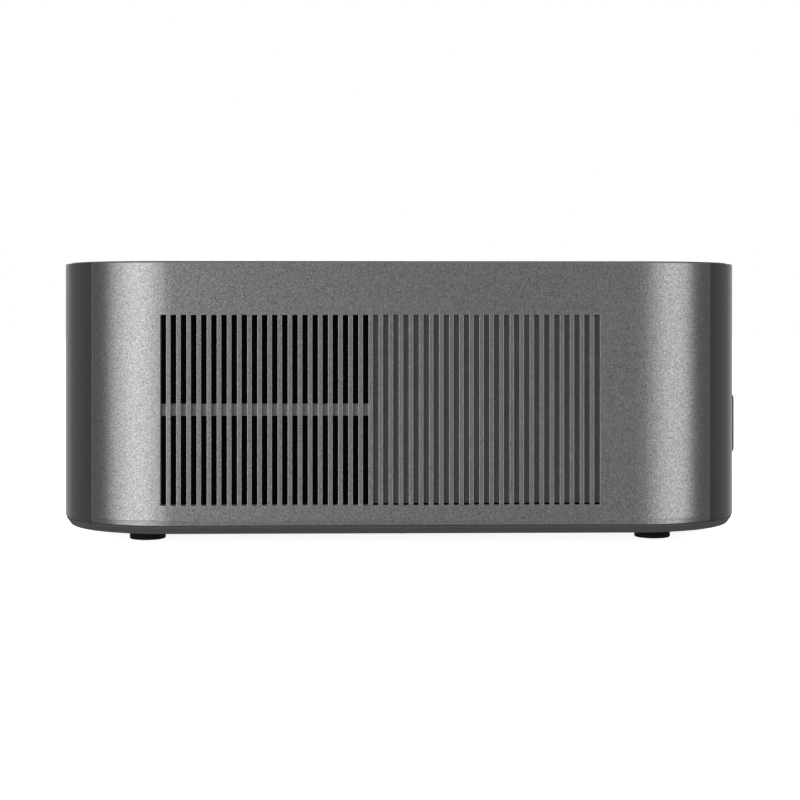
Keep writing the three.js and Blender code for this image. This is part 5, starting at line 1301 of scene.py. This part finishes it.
# Each block is its middle, its width and depth, and its height over the board.
chips = [(-143.5, 40.5, 30, 30, 1.5), (-156.3, 7.2, 8.5, 13, 1.3), (-156.3, 73.8, 8.5, 13, 1.3),
         (-130.0, 7.0, 14, 9, 1.2), (-126.0, 76.0, 12, 12, 1.4), (-104.0, 30.0, 16, 16, 1.5),
         (-190.0, 20.0, 10, 14, 1.3), (-186.0, 62.0, 12, 8, 1.3), (-104.0, 60.0, 8, 6, 1.6),
         (116.0, 112.0, 22, 12, 9.0), (118.0, 88.0, 10, 14, 8.0), (150.0, 112.0, 14, 9, 5.0)]
plugs = [(-205.0, 40.0, 7, 26, 8.0), (-100.0, 88.0, 20, 6, 8.0), (-170.0, -9.0, 24, 6, 7.0),
         (104.0, 40.0, 7, 20, 9.0), (170.0, 4.0, 24, 7, 9.0)]
for name, blocks, finish, slot in (("board_chips", chips, moulded_chip, "black"),
                                   ("board_plugs", plugs, natural_nylon, "nylon")):
    bm = bmesh.new()
    for x, y, wide, deep, high in blocks:
        soft_block(bm, (x - wide / 2, y - deep / 2, board_face),
                   (x + wide / 2, y + deep / 2, board_face + high), edge=0.25)
    make_piece(name, bm, finish, "housing")

core_x, core_y, core_half, core_deep, limb = 156.0, 63.0, 18, 9, 4
core_foot, window_foot, window_head, core_head = 18.0, 25.4, 42.4, 49.8
bm = bmesh.new()
for low_x, high_x, low_z, high_z in ((-core_half, core_half, core_foot, window_foot),
                                     (-core_half, core_half, window_head, core_head),
                                     (-core_half, limb - core_half, window_foot, window_head),
                                     (core_half - limb, core_half, window_foot, window_head)):
    soft_block(bm, (core_x + low_x, core_y - core_deep, low_z),
               (core_x + high_x, core_y + core_deep, high_z), edge=0.4)
make_piece("transformer_core", bm, ferrite, "housing")
winding = [(0, 25.6), (13.2, 25.6), (13.7, 26.0), (13.7, 27.2), (12.6, 27.6), (12.6, 40.2), (13.7, 40.6),
           (13.7, 41.8), (13.2, 42.2), (0, 42.2)]
bm = bmesh.new()
turned_piece(bm, winding, sides=48, place=(core_x, core_y, 0.0))
make_piece("transformer_winding", bm, coil_tape, "housing")

can_x, can_lid, can_brim = 188.0, 55.0, 9.3
can = [(0, 18.0), (10.6, 18.0), (10.9, 18.3), (10.9, 21.0), (10.3, 21.8), (10.9, 22.6), (10.9, can_lid),
       (10.6, 55.6), (10.0, 55.8), (9.4, 55.6), (9.2, 55.2), (9.0, can_lid), (2.0, can_lid), (0, 54.8)]
for name, y in (("front", 35.0), ("middle", 63.0), ("rear", 91.0)):
    bm = bmesh.new()
    turned_piece(bm, can, sides=48, place=(can_x, y, 0.0))
    for face in bm.faces:
        in_brim = all((vert.co.xy / MM - Vector((can_x, y))).length < can_brim for vert in face.verts)
        face.material_index = int(in_brim and face.calc_center_median().z / MM > can_lid - can_brim)
    capacitor = make_piece(name + "_capacitor", bm, shrink_sleeve, "housing")
    capacitor.data.materials.append(fin_metal)

bm = bmesh.new()
for x, y, ring_radius, wire_radius in ((116.0, 18.0, 8.0, 3.4), (146.0, 22.0, 6.0, 2.8)):
    coil = circle(ring_radius, board_face + wire_radius, wire_radius, sides=16)
    turned_piece(bm, coil, sides=40, place=(x, y, 0.0), closed=True)
make_piece("filter_coils", bm, copper, "housing")


# Screws
# Pan-head steel screws hold the tray to the shells from below and the boards to their posts. Those of
# the tray are blackened, those of the boards are plated.
tray_screw_places = [(x, y) for x in (-170.0, 0.0, 170.0) for y in (-150.0, 150.0)]
tray_screw_places += [(-228.0, 0.0), (228.0, 0.0)]
bm = bmesh.new()
for x, y in tray_screw_places:
    screw_head(bm, lambda a, b, out: Vector((x + a, y - b, underside - out)) * MM,
               radius=3.0, height=1.2)
make_piece("tray_screws", bm, black_steel, "housing")
bm = bmesh.new()
for x, y in post_places:
    screw_head(bm, lambda a, b, out: Vector((x + a, y + b, board_face + out)) * MM,
               radius=2.6, height=1.4)
make_piece("board_screws", bm, plated_steel, "housing")
